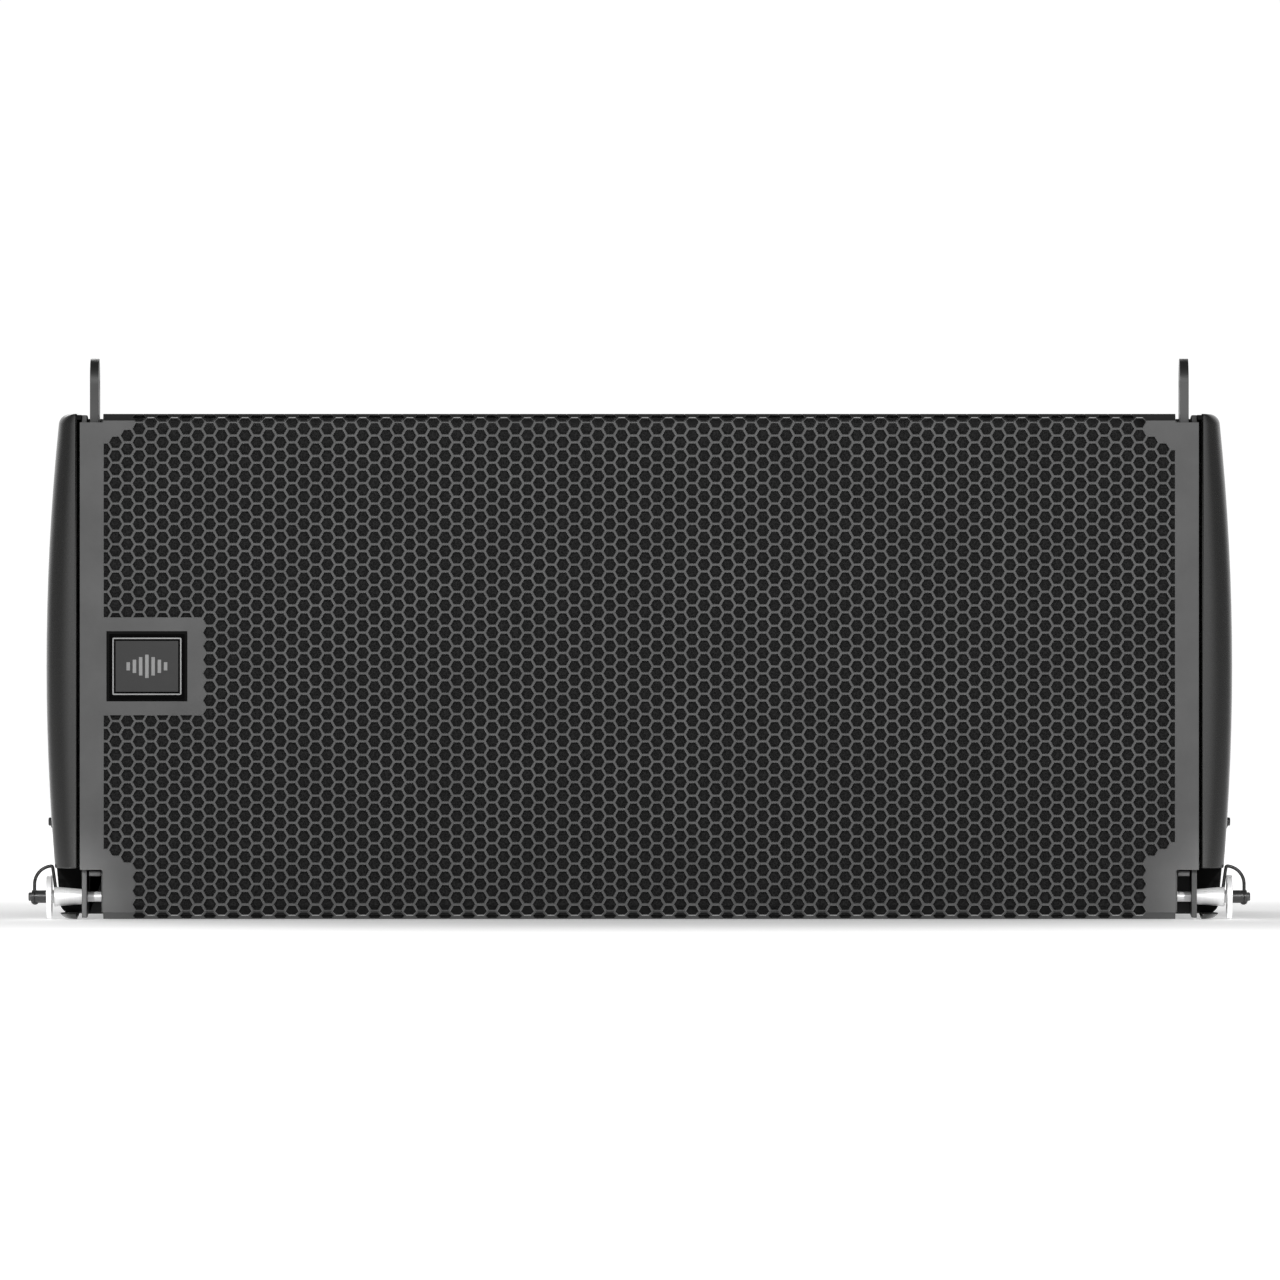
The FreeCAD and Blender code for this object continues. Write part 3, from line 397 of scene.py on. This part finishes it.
def folded(u, v, depth):
    """A point of the flat blank, folded: a 45 degree edge, then a return towards the rear."""
    slant = FOLD * math.sqrt(2)
    past = max(v - (HEIGHT - FOLD), FOLD - v)
    up = 1 if v < MIDDLE else -1
    turn = 0.0 if past <= 0 else math.radians(45 if past <= slant else 90)
    along = min(max(past, 0.0), slant) / math.sqrt(2)
    rear = FRONT + along + max(past - slant, 0.0)
    if past <= 0:
        height = v
    else:
        height = FOLD - along if v < MIDDLE else HEIGHT - FOLD + along
    return Vector((u, rear + depth * math.cos(turn), height + up * depth * math.sin(turn)))


def hexagon(u, v, flats):
    """Corners of a hexagon with flat top and bottom edges."""
    reach = flats / math.sqrt(3)
    corners = [math.radians(60 * step) for step in range(6)]
    return [Vector((u + reach * math.cos(turn), v + reach * math.sin(turn))) for turn in corners]


def clipped(polygon, axis, limit, keep_below):
    """The part of a convex polygon on one side of a line of constant u or v."""
    kept = []
    for start, end in zip(polygon, polygon[1:] + polygon[:1]):
        inside = (start[axis] <= limit) == keep_below
        if inside:
            kept.append(start)
        if inside != ((end[axis] <= limit) == keep_below):
            share = (limit - start[axis]) / (end[axis] - start[axis])
            kept.append(start.lerp(end, share))
    return kept


def badge_patch():
    """The plain patch round the badge: its inner edge and its height limits."""
    low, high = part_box("badge_bezel")
    middle = (low.z + high.z) / 2
    return high.x + PATCH_ASIDE, middle - PATCH_HALF, middle + PATCH_HALF


def grille_holes():
    """Every hexagonal hole of the blank, cut short at the sides and round the badge."""
    patch_x, patch_low, patch_high = badge_patch()
    holes = []
    for column in range(COLUMNS):
        u = (column - (COLUMNS - 1) / 2) * COLUMN_PITCH
        odd = column % 2
        shift = 0.5 if odd else 0.0
        for row in range(-HALF_ROWS - odd, HALF_ROWS + 1):
            v = MIDDLE + (row + shift) * ROW_PITCH
            above = v > CORNER_TOP - CORNER_SLOPE * abs(u)
            below = v < CORNER_SLOPE * abs(u) - CORNER_BOTTOM
            if abs(u) > SOLID_FROM and (above or below):
                continue
            hole = hexagon(u, v, RIM_FLATS)
            hole = clipped(hole, 0, HOLE_EDGE, True)
            hole = clipped(hole, 0, -HOLE_EDGE, False)
            if u < patch_x:
                if patch_low < v < patch_high:
                    top_free = patch_high - v
                    bottom_free = v - patch_low
                    if top_free < ROW_PITCH / 2:
                        hole = clipped(hole, 1, patch_high, False)
                    elif bottom_free < ROW_PITCH / 2:
                        hole = clipped(hole, 1, patch_low, True)
                    else:
                        continue
                elif v <= patch_low:
                    hole = clipped(hole, 1, patch_low, True)
                else:
                    hole = clipped(hole, 1, patch_high, False)
            if len(hole) > 2:
                holes.append(hole)
    return holes


def grille_outline():
    """The blank's outline: side strips that stop short of the folds, with small corner radii."""
    slant = FOLD * math.sqrt(2)
    tail = FOLD - slant - (RETURN_END - FRONT - FOLD)
    radius = 1.5 * MM
    inner = [Vector((FOLD_HALF, tail)), Vector((FOLD_HALF, STRIP_LOW - radius))]
    arc = [Vector((FOLD_HALF + radius * (1 - math.cos(turn)), STRIP_LOW - radius * (1 - math.sin(turn))))
           for turn in (math.radians(step) for step in (30, 60, 90))]
    right = inner + arc + [Vector((GRILLE_HALF, STRIP_LOW)), Vector((GRILLE_HALF, STRIP_HIGH)),
                           Vector((FOLD_HALF, STRIP_HIGH)), Vector((FOLD_HALF, HEIGHT - tail))]
    return right + [Vector((-point.x, point.y)) for point in reversed(right)]


def bezel_window():
    low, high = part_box("badge_bezel")
    corners = ((low.x, low.z), (high.x, low.z), (high.x, high.z), (low.x, high.z))
    return [Vector(corner) for corner in corners]


def build_grille():
    """The punched sheet: a flat blank with its holes and rims, folded and given its thickness."""
    loops = [grille_outline(), bezel_window()] + grille_holes()
    points = []
    rings = []
    for loop in loops:
        rings.append(list(range(len(points), len(points) + len(loop))))
        points.extend(loop)
    inside_with_holes = 2
    flat_points, _, faces, _, _, _ = delaunay_2d_cdt(points, [], rings, inside_with_holes, 1e-7)
    work = bmesh.new()
    corners = [work.verts.new((point.x, point.y, 0.0)) for point in flat_points]
    for face in faces:
        work.faces.new([corners[index] for index in face])
    for ring in rings[2:]:
        add_rim(work, [corners[index] for index in ring])
    slant = FOLD * math.sqrt(2)
    for line in (FOLD, HEIGHT - FOLD, FOLD - slant, HEIGHT - FOLD + slant):
        everything = work.verts[:] + work.edges[:] + work.faces[:]
        bmesh.ops.bisect_plane(work, geom=everything, plane_co=(0, line, 0), plane_no=(0, 1, 0))
    for corner in work.verts:
        corner.co = folded(*corner.co)
    bmesh.ops.recalc_face_normals(work, faces=work.faces)
    facing = max(work.faces, key=lambda face: face.calc_area())
    if facing.normal.y > 0:
        bmesh.ops.reverse_faces(work, faces=work.faces)
    mesh = bpy.data.meshes.new("grille_sheet")
    work.to_mesh(mesh)
    work.free()
    steel = MATERIALS["grille_steel"]
    sheet = finish_piece("grille_sheet", mesh, "cabinet", steel, ["grille"])
    # The second material is the rims' lighter painted-highlight coat.
    mesh.materials.append(MATERIALS["grille_rims"])
    thick = sheet.modifiers.new("Thickness", "SOLIDIFY")
    thick.thickness = SHEET - RIM_DEPTH
    thick.offset = -1.0


def add_rim(work, ring):
    """The rolled-in edge that the punch leaves round a hole."""
    middle = sum((corner.co for corner in ring), Vector()) / len(ring)
    share = HOLE_FLATS / RIM_FLATS
    inner = [work.verts.new(middle.lerp(corner.co, share) + Vector((0, 0, RIM_DEPTH))) for corner in ring]
    for index, corner in enumerate(ring):
        after = (index + 1) % len(ring)
        slope = work.faces.new([corner, ring[after], inner[after], inner[index]])
        # Rims on the flat front take the painted-highlight coat; rims on the folds keep the plain coat so the
        # folds stay dark.
        slope.material_index = int(FOLD < middle.y < HEIGHT - FOLD)


def build_foam():
    """The foam slab: a slightly uneven front face behind the holes."""
    low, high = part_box("grille_foam")
    across = 220
    up = 96
    wide = across + 1
    verts = []
    for row in range(up + 1):
        for column in range(across + 1):
            x = low.x + (high.x - low.x) * column / across
            z = low.z + (high.z - low.z) * row / up
            rim = column in (0, across) or row in (0, up)
            dent = 0.0 if rim else random.uniform(0.7, 1.4) * MM
            verts.append((x, low.y + dent, z))
    back = len(verts)
    for x, z in ((low.x, low.z), (high.x, low.z), (high.x, high.z), (low.x, high.z)):
        verts.append((x, high.y, z))
    faces = []
    for row in range(up):
        for column in range(across):
            near = row * wide + column
            faces.append((near, near + 1, near + wide + 1, near + wide))
    bottom = list(range(0, wide))
    top = list(range(up * wide, up * wide + wide))
    left = [row * wide for row in range(up + 1)]
    right = [row * wide + across for row in range(up + 1)]
    faces.append((back, back + 1, *reversed(bottom)))
    faces.append((back + 2, back + 3, *top))
    faces.append((back + 3, back, *left))
    faces.append((back + 1, back + 2, *reversed(right)))
    faces.append((back + 3, back + 2, back + 1, back))
    mesh_object("foam_sheet", verts, faces, "cabinet", MATERIALS["foam"], ["grille_foam"])


# Badge -----------------------------------------------------------------------------------

BARS_ASIDE = 3
BAR_PITCH = 3.7
BAR_WIDE = 2.2
BAR_SHORT = 5
BAR_GROWTH = 3


def build_badge():
    """A recess and a groove painted near black as shade, a plate with a pale outline, and a generic mark of
    seven bars.
    """
    low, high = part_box("badge_bezel")
    middle = Vector(((low.x + high.x) / 2, FRONT, (low.z + high.z) / 2))
    pan_size = ((high.x - low.x) / MM, (high.z - low.z) / MM)
    low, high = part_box("badge_plate")
    plate_size = ((high.x - low.x) / MM, (high.z - low.z) / MM)
    stepped("badge_rim", middle, pan_size,
            [(0, 1.4), (0, 0.25), (0.3, 0.05), (1.7, 0.75), (1.7, 1.4)],
            1.2, True, "cabinet", MATERIALS["badge_rim"], ["badge_bezel"])
    stepped("badge_recess", middle, pan_size, [(0.4, 1.5), (0.4, 1.2), (1.6, 1.2), (3.4, 1.3)], 1.2, False,
            "cabinet", MATERIALS["badge_frame"], ["badge_bezel"])
    stepped("badge_outline", middle, plate_size,
            [(0, 1.3), (0, 0.3), (0.15, 0.1), (0.75, 0.1), (0.9, 0.3), (0.9, 1.3)],
            0.9, True, "cabinet", MATERIALS["badge_line"], ["badge_plate"])
    stepped("badge_groove", middle, plate_size, [(0.9, 1.4), (0.9, 1.2), (3.0, 1.2)], 1.2, False,
            "cabinet", MATERIALS["badge_frame"], ["badge_plate"])
    stepped("badge_face_plate", middle, plate_size, [(1.9, 1.3), (1.9, 0.5), (2.1, 0.35)], 1.2, False,
            "cabinet", MATERIALS["badge_face"], ["badge_plate"])
    for step in range(-BARS_ASIDE, BARS_ASIDE + 1):
        height = BAR_SHORT + BAR_GROWTH * (BARS_ASIDE - abs(step))
        place = middle + Vector((step * BAR_PITCH * MM, 0, 0))
        stepped(f"badge_bar_{step + BARS_ASIDE + 1}", place, (BAR_WIDE, height),
                [(0, 0.6), (0, 0.2), (0.12, 0.08)], 0.2, False,
                "cabinet", MATERIALS["badge_light"], ["badge_plate"])


# Side pods -------------------------------------------------------------------------------

POD_LOW, POD_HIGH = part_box("right_side_pod")
POD_FRONT = POD_LOW.y / MM
POD_REAR = POD_HIGH.y / MM
POD_TALL = POD_HIGH.z / MM
POD_ROOT = POD_LOW.x / MM
POD_OUT = POD_HIGH.x / MM
POD_IN = 334.0
RECESS_IN = 328.0
TOP_LIP_IN = 331.5
POD_STEP = -159.8
POD_CORNER = 6.5
BARREL = 1420.0
KNEE = -189.3
SLOPE = math.tan(math.radians(5))
NOSE = POD_OUT - POD_IN
RECESS_FLOOR = 3.4
RECESS_TOP = 29.9
GRIP_FLOOR = 326.0
GRIP_HOOK = 344.0
GRIP_HALF = 60.0
GRIP_LOW = 105
GRIP_HIGH = 182
HOOK_LOW = 170
HOOK_HIGH = 200
POD_ROUNDING = 0.9 * MM
POD_SHARP = math.radians(40)


def pod_rib(y, share):
    """The pod's closed outline at one depth, in millimetres: flat ends and a bowed outer side.

    The share narrows the part that stands proud of the rail, towards the nose and the tail.
    """
    low = max(0.0, (y - KNEE) * SLOPE)
    middle = POD_TALL / 2
    hub_x = POD_OUT - BARREL
    corner_z = low + POD_CORNER
    tilt = math.asin((middle - corner_z) / (BARREL - POD_CORNER))
    corner_x = hub_x + (BARREL - POD_CORNER) * math.cos(tilt)
    lower = [(POD_ROOT, low)]
    for step in range(9):
        turn = math.radians(-90) + (math.radians(90) - tilt) * step / 8
        lower.append((corner_x + POD_CORNER * math.cos(turn), corner_z + POD_CORNER * math.sin(turn)))
    for step in range(1, 8):
        turn = -tilt * (1 - step / 8)
        lower.append((hub_x + BARREL * math.cos(turn), middle + BARREL * math.sin(turn)))
    upper = [(x, POD_TALL - z) for x, z in reversed(lower)]
    outline = lower + [(POD_OUT, middle)] + upper
    return [(x if x < POD_IN else POD_IN + (x - POD_IN) * share, y, z) for x, z in outline]


def pod_stations():
    """Depths along the pod with the share of its width there: round nose, side, round tail."""
    turns = [math.radians(4)] + [math.radians(90 * step / 14) for step in range(1, 15)]
    nose = [(POD_FRONT + NOSE - NOSE * math.cos(turn), math.sin(turn)) for turn in turns]
    side = [(y, 1.0) for y in (KNEE + 0.2, -150.0, -100.0, -50.0, 0.0, 50.0, 90.0)]
    tail = [(POD_REAR - NOSE + NOSE * math.cos(turn), math.sin(turn)) for turn in reversed(turns)]
    return nose + side + tail


def slab(x0, x1, y0, y1, z0, z1, corner):
    """A loose block in millimetres, along X, whose outline across X has round corners."""
    around = 6
    outline = []
    for quarter, (side, end) in enumerate(CORNERS):
        y = (y0 + y1) / 2 + side * ((y1 - y0) / 2 - corner)
        z = (z0 + z1) / 2 + end * ((z1 - z0) / 2 - corner)
        for step in range(around):
            turn = math.radians(90 * quarter + 90 * step / (around - 1))
            outline.append((y + corner * math.cos(turn), z + corner * math.sin(turn)))
    loop = len(outline)
    verts = [(x * MM, y * MM, z * MM) for x in sorted((x0, x1)) for y, z in outline]
    faces = [list(range(loop)), list(range(loop, 2 * loop))]
    faces += [[step, (step + 1) % loop, loop + (step + 1) % loop, loop + step] for step in range(loop)]
    mesh = bpy.data.meshes.new("cutter")
    mesh.from_pydata(verts, [], faces)
    cutter = bpy.data.objects.new("cutter", mesh)
    bpy.context.scene.collection.objects.link(cutter)
    return recalculated(cutter)


def carve(piece, cutters):
    """Take each cutter out of the piece for good, and delete the cutters."""
    for cutter in cutters:
        cut = piece.modifiers.new("Cut", "BOOLEAN")
        cut.operation = "DIFFERENCE"
        cut.solver = "EXACT"
        cut.object = cutter
    final = bpy.data.meshes.new_from_object(piece.evaluated_get(bpy.context.evaluated_depsgraph_get()))
    piece.modifiers.clear()
    piece.data = final
    for cutter in cutters:
        bpy.data.objects.remove(cutter)
    for face in final.polygons:
        face.use_smooth = True


def paint_recess_shade(pod):
    """The recess faces get a near-black material: painted shade for the shade deep inside the recess."""
    pod.data.materials.append(MATERIALS["pod_recess"])
    slack = 0.1
    for face in pod.data.polygons:
        middle = face.center / MM
        if middle.y < POD_STEP + slack and RECESS_FLOOR - slack < middle.z < RECESS_TOP + slack:
            face.material_index = 1


def weigh_edges(pod):
    """Mark the sharp edges to be rounded, but not those of the thin shelf under the pin."""
    slack = 0.3
    work = bmesh.new()
    work.from_mesh(pod.data)
    weight = work.edges.layers.float.new("bevel_weight_edge")
    for edge in work.edges:
        middle = (edge.verts[0].co + edge.verts[1].co) / 2 / MM
        shelf = middle.y < POD_STEP + slack and middle.z < RECESS_FLOOR + slack
        sharp = len(edge.link_faces) == 2 and edge.calc_face_angle() > POD_SHARP
        edge[weight] = float(sharp and not shelf)
    work.to_mesh(pod.data)
    work.free()


def build_pod(side, sign):
    """The bowed side moulding with its grip pocket and, at the lower front, the pin's recess."""
    ribs = [pod_rib(y, share) for y, share in pod_stations()]
    loop = len(ribs[0])
    verts = [(sign * x * MM, y * MM, z * MM) for rib in ribs for x, y, z in rib]
    last = (len(ribs) - 1) * loop
    faces = [list(range(loop)), list(range(last, last + loop))]
    for rib in range(len(ribs) - 1):
        for step in range(loop):
            after = (step + 1) % loop
            here = rib * loop
            faces.append([here + step, here + after, here + loop + after, here + loop + step])
    node = f"{side}_side_pod"
    plastic = MATERIALS["pod_plastic"]
    pod = mesh_object(f"{node}_skin", verts, faces, "cabinet", plastic, [node])
    recalculated(pod)
    before = POD_FRONT - 9
    beyond = POD_OUT + 20
    cutters = [
        (POD_ROOT - 20, POD_IN, before, POD_STEP, -9, POD_TALL + 9, 0.1),
        (RECESS_IN, beyond, before, POD_STEP, RECESS_FLOOR, RECESS_TOP, 0.1),
        (GRIP_FLOOR, beyond, -GRIP_HALF, GRIP_HALF, GRIP_LOW, GRIP_HIGH, 11),
        (GRIP_FLOOR + 1, GRIP_HOOK, -GRIP_HALF, GRIP_HALF, HOOK_LOW, HOOK_HIGH, 5),
    ]
    carve(pod, [slab(sign * x0, sign * x1, *rest) for x0, x1, *rest in cutters])
    # Painted shade: the recess faces are given the near-black material.
    paint_recess_shade(pod)
    weigh_edges(pod)
    bevel(pod, POD_ROUNDING, 3).limit_method = "WEIGHT"
    lip_low = POD_TALL - 3.5
    lip_high = POD_TALL - 0.6
    lip = slab(sign * TOP_LIP_IN, sign * (POD_IN + 1), POD_FRONT, POD_STEP, lip_low, lip_high, 0.6)
    lip.name = f"{node}_top_lip"
    # The lip takes the same near-black painted shade.
    lip.data.materials.append(MATERIALS["pod_recess"])
    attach(lip, "cabinet")
    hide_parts(node)


# Quick-release pins ----------------------------------------------------------------------

PIN_R = 3.0
SLEEVE_IN = 331.5
SLEEVE_END = 348.2
SLEEVE_R = 5.9
SLEEVE_ROOT = 4.5
FLANGE_IN = 349.5
FLANGE_OUT = 352.7
FLANGE_R = 12.9
STUB_R = 3.85
SOCKET_R = 3.2
SPIGOT_R = SOCKET_R - 0.05
BUTTON_HOLE_R = 2.7
GROOVE_R = STUB_R - 0.35
LOOP_X = 349.1
LOOP_R = 10.8
LOOP_RISE = 3.6
LOOP_LEAN = 1.7
WIRE_R = 1.0
BEAD_R = 2.5


def build_pin(side, sign, where):
    """One ball-lock pin: bright spindle, black stub with its crimped bead, and its wire loop."""
    body = f"{side}_{where}_pin"
    low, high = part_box(body)
    hub = Vector((0.0, (low.y + high.y) / 2, (low.z + high.z) / 2))
    axis = (sign, 0, 0)
    tip = min(abs(low.x), abs(high.x)) / MM
    stub_end = max(abs(low.x), abs(high.x)) / MM
    black = MATERIALS["pin_button"]
    neck = PIN_R * 1.3
    spindle = turned(f"{body}_spindle",
                     [(tip, PIN_R - 1), (tip + 1, PIN_R), (SLEEVE_IN, PIN_R), (SLEEVE_IN, SLEEVE_ROOT),
                      (SLEEVE_END, SLEEVE_R), (SLEEVE_END, neck), (FLANGE_IN, neck),
                      (FLANGE_IN, FLANGE_R), (FLANGE_OUT, FLANGE_R), (FLANGE_OUT, SOCKET_R),
                      (FLANGE_IN + 1.1, SOCKET_R)],
                     hub, axis, body, MATERIALS["pin_steel"], [body], steps=64)
    bevel(spindle, 0.35 * MM, 3)
    stub = turned(f"{body}_stub",
                  [(FLANGE_IN + 1.2, SPIGOT_R), (FLANGE_OUT + 0.1, SPIGOT_R),
                   (FLANGE_OUT + 0.1, STUB_R), (stub_end - 2, STUB_R),
                   (stub_end - 2, GROOVE_R), (stub_end - 1.4, GROOVE_R), (stub_end - 1.4, STUB_R),
                   (stub_end, STUB_R), (stub_end, BUTTON_HOLE_R), (FLANGE_IN + 1.4, BUTTON_HOLE_R)],
                  hub, axis, body, black, [body])
    bevel(stub, 0.15 * MM)
    bead_hub = Vector((sign * (stub_end - 1.9) * MM, hub.y, hub.z - 2.4 * MM))
    bead = [(BEAD_R * math.cos(turn), BEAD_R * math.sin(turn))
            for turn in (math.radians(step) for step in range(170, 0, -10))]
    turned(f"{body}_crimp_bead", bead, bead_hub, axis, body, black, [body], steps=32)
    build_loop(side, sign, where, hub)


def build_loop(side, sign, where, hub):
    """The coated wire: up from the stub, a quarter turn over, then down to the sleeve."""
    spring = STUB_R + LOOP_RISE
    points = [(LOOP_X + LOOP_R, STUB_R - 1.2), (LOOP_X + LOOP_R, STUB_R + 1)]
    for step in range(13):
        angle = math.radians(88 * step / 12)
        points.append((LOOP_X + LOOP_R * math.cos(angle), spring + LOOP_R * math.sin(angle)))
    points.append((LOOP_X - 0.15, spring + LOOP_R - 1.2))
    points.append((LOOP_X - LOOP_LEAN, SLEEVE_R - 0.5))
    curve = bpy.data.curves.new(f"{side}_{where}_wire_loop", "CURVE")
    curve.dimensions = "3D"
    curve.bevel_depth = WIRE_R * MM
    curve.bevel_resolution = 5
    curve.use_fill_caps = True
    curve.resolution_u = 6
    spline = curve.splines.new("NURBS")
    spline.points.add(len(points) - 1)
    for target, (x, z) in zip(spline.points, points):
        target.co = (x * sign * MM, hub.y, hub.z + z * MM, 1.0)
    spline.order_u = 3
    spline.use_endpoint_u = True
    curve.materials.append(MATERIALS["loop_wire"])
    piece = bpy.data.objects.new(curve.name, curve)
    bpy.context.scene.collection.objects.link(piece)
    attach(piece, f"{side}_{where}_pin")
    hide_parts(f"{side}_{where}_pin_loop")


# Amplifier controls ----------------------------------------------------------------------

def build_knob():
    """The encoder knob on its shaft: a plain skirt, a fluted grip and a shallow dish in its end."""
    low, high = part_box("encoder_knob")
    hub = Vector(((low.x + high.x) / 2, 0.0, (low.z + high.z) / 2))
    axis = (0, 1, 0)
    start = low.y / MM
    end = high.y / MM
    panel = end - 14
    rubber = MATERIALS["knob"]
    skirt = turned("encoder_knob_skirt",
                   [(start, 3.0), (panel + 0.4, 3.0), (panel + 0.4, 8.5), (panel + 2.0, 8.5),
                    (panel + 2.6, 7.9), (panel + 2.6, 6.5), (panel + 3.4, 6.5)],
                   hub, axis, "encoder_knob", rubber, ["encoder_knob"], steps=64)
    bevel(skirt, 0.2 * MM)
    grip = turned("encoder_knob_grip",
                  [(panel + 2.6, 7.4), (panel + 12.6, 7.1), (panel + 13.6, 6.4), (end, 5.4),
                   (end - 0.8, 4.6), (end - 1.0, 2.0)],
                  hub, axis, "encoder_knob", rubber, ["encoder_knob"], steps=56, flutes=0.05)
    bevel(grip, 0.12 * MM)


# Studio ----------------------------------------------------------------------------------

WHITE = (1.0,) * 3
BLACK = (0.0,) * 3
FLAG_SHADE = 0.2
FLOOR_HALF = 30.0
FLOOR_LEVEL = -0.5 * MM
CAMERA_BACK = 10.556
CAMERA_ASIDE = 0.4 * MM
CAMERA_HIGH = 165.7 * MM


def side_flags(tree, direction):
    """One ahead and behind, falling off to the sides, as black flags beside the set give."""
    split = tree.nodes.new("ShaderNodeSeparateXYZ")
    tree.links.new(direction, split.inputs["Vector"])
    aside = tree.nodes.new("ShaderNodeMath")
    aside.operation = "ABSOLUTE"
    tree.links.new(split.outputs["X"], aside.inputs[0])
    return ramp(tree, aside.outputs["Value"], [(0.5, WHITE), (0.9, (FLAG_SHADE,) * 3)])


def studio_floor():
    """A wide white floor that glows, brightest far out: the glow is turned down near the speaker as a painted
    soft shadow over the real one, and darkened far out to the sides as painted shade.
    """
    material, tree, shader, place = new_material("studio_white")
    tone = ramp(tree, noise(tree, place, 3.0), [(0.0, (0.86,) * 3), (1.0, (0.9,) * 3)])
    tree.links.new(tone, shader.inputs["Base Color"])
    shader.inputs["Roughness"].default_value = 0.95
    length = tree.nodes.new("ShaderNodeVectorMath")
    length.operation = "LENGTH"
    tree.links.new(place, length.inputs[0])
    # Glow strength falls towards the speaker: a painted soft shadow.
    reach = tree.nodes.new("ShaderNodeMapRange")
    reach.interpolation_type = "SMOOTHSTEP"
    reach.inputs["From Min"].default_value = 0.25
    reach.inputs["From Max"].default_value = 0.75
    reach.inputs["To Min"].default_value = 0.4
    reach.inputs["To Max"].default_value = 0.9
    tree.links.new(length.outputs["Value"], reach.inputs["Value"])
    direction = tree.nodes.new("ShaderNodeVectorMath")
    direction.operation = "NORMALIZE"
    tree.links.new(place, direction.inputs[0])
    # Far out, the glow darkens to the sides: painted shade as from the flags.
    flag_painted_shade = mix_colour(tree, side_flags(tree, direction.outputs["Vector"]), BLACK, tone)
    beside = tree.nodes.new("ShaderNodeMapRange")
    beside.inputs["From Min"].default_value = 0.45
    beside.inputs["From Max"].default_value = 0.8
    tree.links.new(length.outputs["Value"], beside.inputs["Value"])
    glow_with_painted_shade = mix_colour(tree, beside.outputs["Result"], tone, flag_painted_shade)
    tree.links.new(glow_with_painted_shade, shader.inputs["Emission Color"])
    tree.links.new(reach.outputs["Result"], shader.inputs["Emission Strength"])
    corners = [(FLOOR_HALF * x, FLOOR_HALF * y, FLOOR_LEVEL) for x, y in CORNERS]
    mesh = bpy.data.meshes.new("studio_floor")
    mesh.from_pydata(corners, [], [(0, 1, 2, 3)])
    mesh.materials.append(material)
    floor = bpy.data.objects.new("studio_floor", mesh)
    bpy.context.scene.collection.objects.link(floor)


def studio_world():
    """White all round near the horizon, greyer to the sides, and dark overhead."""
    world = bpy.data.worlds.new("studio_world")
    world.use_nodes = True
    tree = world.node_tree
    sky = next(node for node in tree.nodes if node.type == "BACKGROUND")
    place = tree.nodes.new("ShaderNodeTexCoord")
    split = tree.nodes.new("ShaderNodeSeparateXYZ")
    tree.links.new(place.outputs["Generated"], split.inputs["Vector"])
    stops = [(0.0, WHITE), (0.38, (0.92,) * 3), (0.72, (0.05,) * 3)]
    height = ramp(tree, split.outputs["Z"], stops)
    flags = side_flags(tree, place.outputs["Generated"])
    blend = tree.nodes.new("ShaderNodeMix")
    blend.data_type = "RGBA"
    blend.blend_type = "MULTIPLY"
    blend.inputs["Factor"].default_value = 1.0
    colours = [socket for socket in blend.inputs if socket.type == "RGBA"]
    tree.links.new(height, colours[0])
    tree.links.new(flags, colours[1])
    tree.links.new(next(socket for socket in blend.outputs if socket.type == "RGBA"), sky.inputs["Color"])
    sky.inputs["Strength"].default_value = 1.03
    bpy.context.scene.world = world


def softbox(name, place, wide, high, power):
    """A rectangular light aimed at the middle of the speaker."""
    light = bpy.data.lights.new(name, "AREA")
    light.shape = "RECTANGLE"
    light.size = wide
    light.size_y = high
    light.energy = power
    lamp = bpy.data.objects.new(name, light)
    lamp.location = place
    aim = Vector((0.0, 0.0, MIDDLE))
    lamp.rotation_euler = (aim - Vector(place)).to_track_quat("-Z", "Y").to_euler()
    bpy.context.scene.collection.objects.link(lamp)


def accent(name, place, target, power):
    """A narrow soft-edged spot that picks out one bright piece."""
    light = bpy.data.lights.new(name, "SPOT")
    light.energy = power
    light.spot_size = math.radians(2.6)
    light.spot_blend = 0.9
    light.shadow_soft_size = 0.02
    lamp = bpy.data.objects.new(name, light)
    lamp.location = place
    lamp.rotation_euler = (Vector(target) - Vector(place)).to_track_quat("-Z", "Y").to_euler()
    bpy.context.scene.collection.objects.link(lamp)


def studio():
    """The pale floor and surroundings, two soft lights in front, one behind and a spot on each front pin."""
    studio_floor()
    studio_world()
    softbox("key_light", (-1.6, -5.4, 2.5), 2.4, 1.0, 28.0)
    softbox("fill_light", (1.6, -5.4, 2.5), 2.4, 1.0, 26.0)
    for side, sign in SIDES.items():
        front_pin = (sign * 0.342, -0.19, 0.009)
        accent(f"{side}_pin_light", (sign * 0.7, -1.7, 0.55), front_pin, 80.0)
    softbox("rear_light", (-1.4, 4.2, 2.8), 3.0, 1.6, 50.0)
    bpy.context.scene.view_settings.view_transform = "Standard"


def camera():
    """A long lens far off, level with the middle of the picture."""
    lens = bpy.data.cameras.new("camera")
    lens.lens = 500.0
    lens.sensor_width = 36.0
    lens.clip_end = 100.0
    view = bpy.data.objects.new("camera", lens)
    view.location = (CAMERA_ASIDE, FRONT - CAMERA_BACK, CAMERA_HIGH)
    view.rotation_euler = (math.radians(90), 0.0, 0.0)
    bpy.context.scene.collection.objects.link(view)
    bpy.context.scene.camera = view


camera()
studio()
dress_cad_nodes()
build_grille()
build_foam()
build_badge()
build_knob()
for side, sign in SIDES.items():
    build_pod(side, sign)
    for where in ("front", "rear"):
        build_pin(side, sign, where)
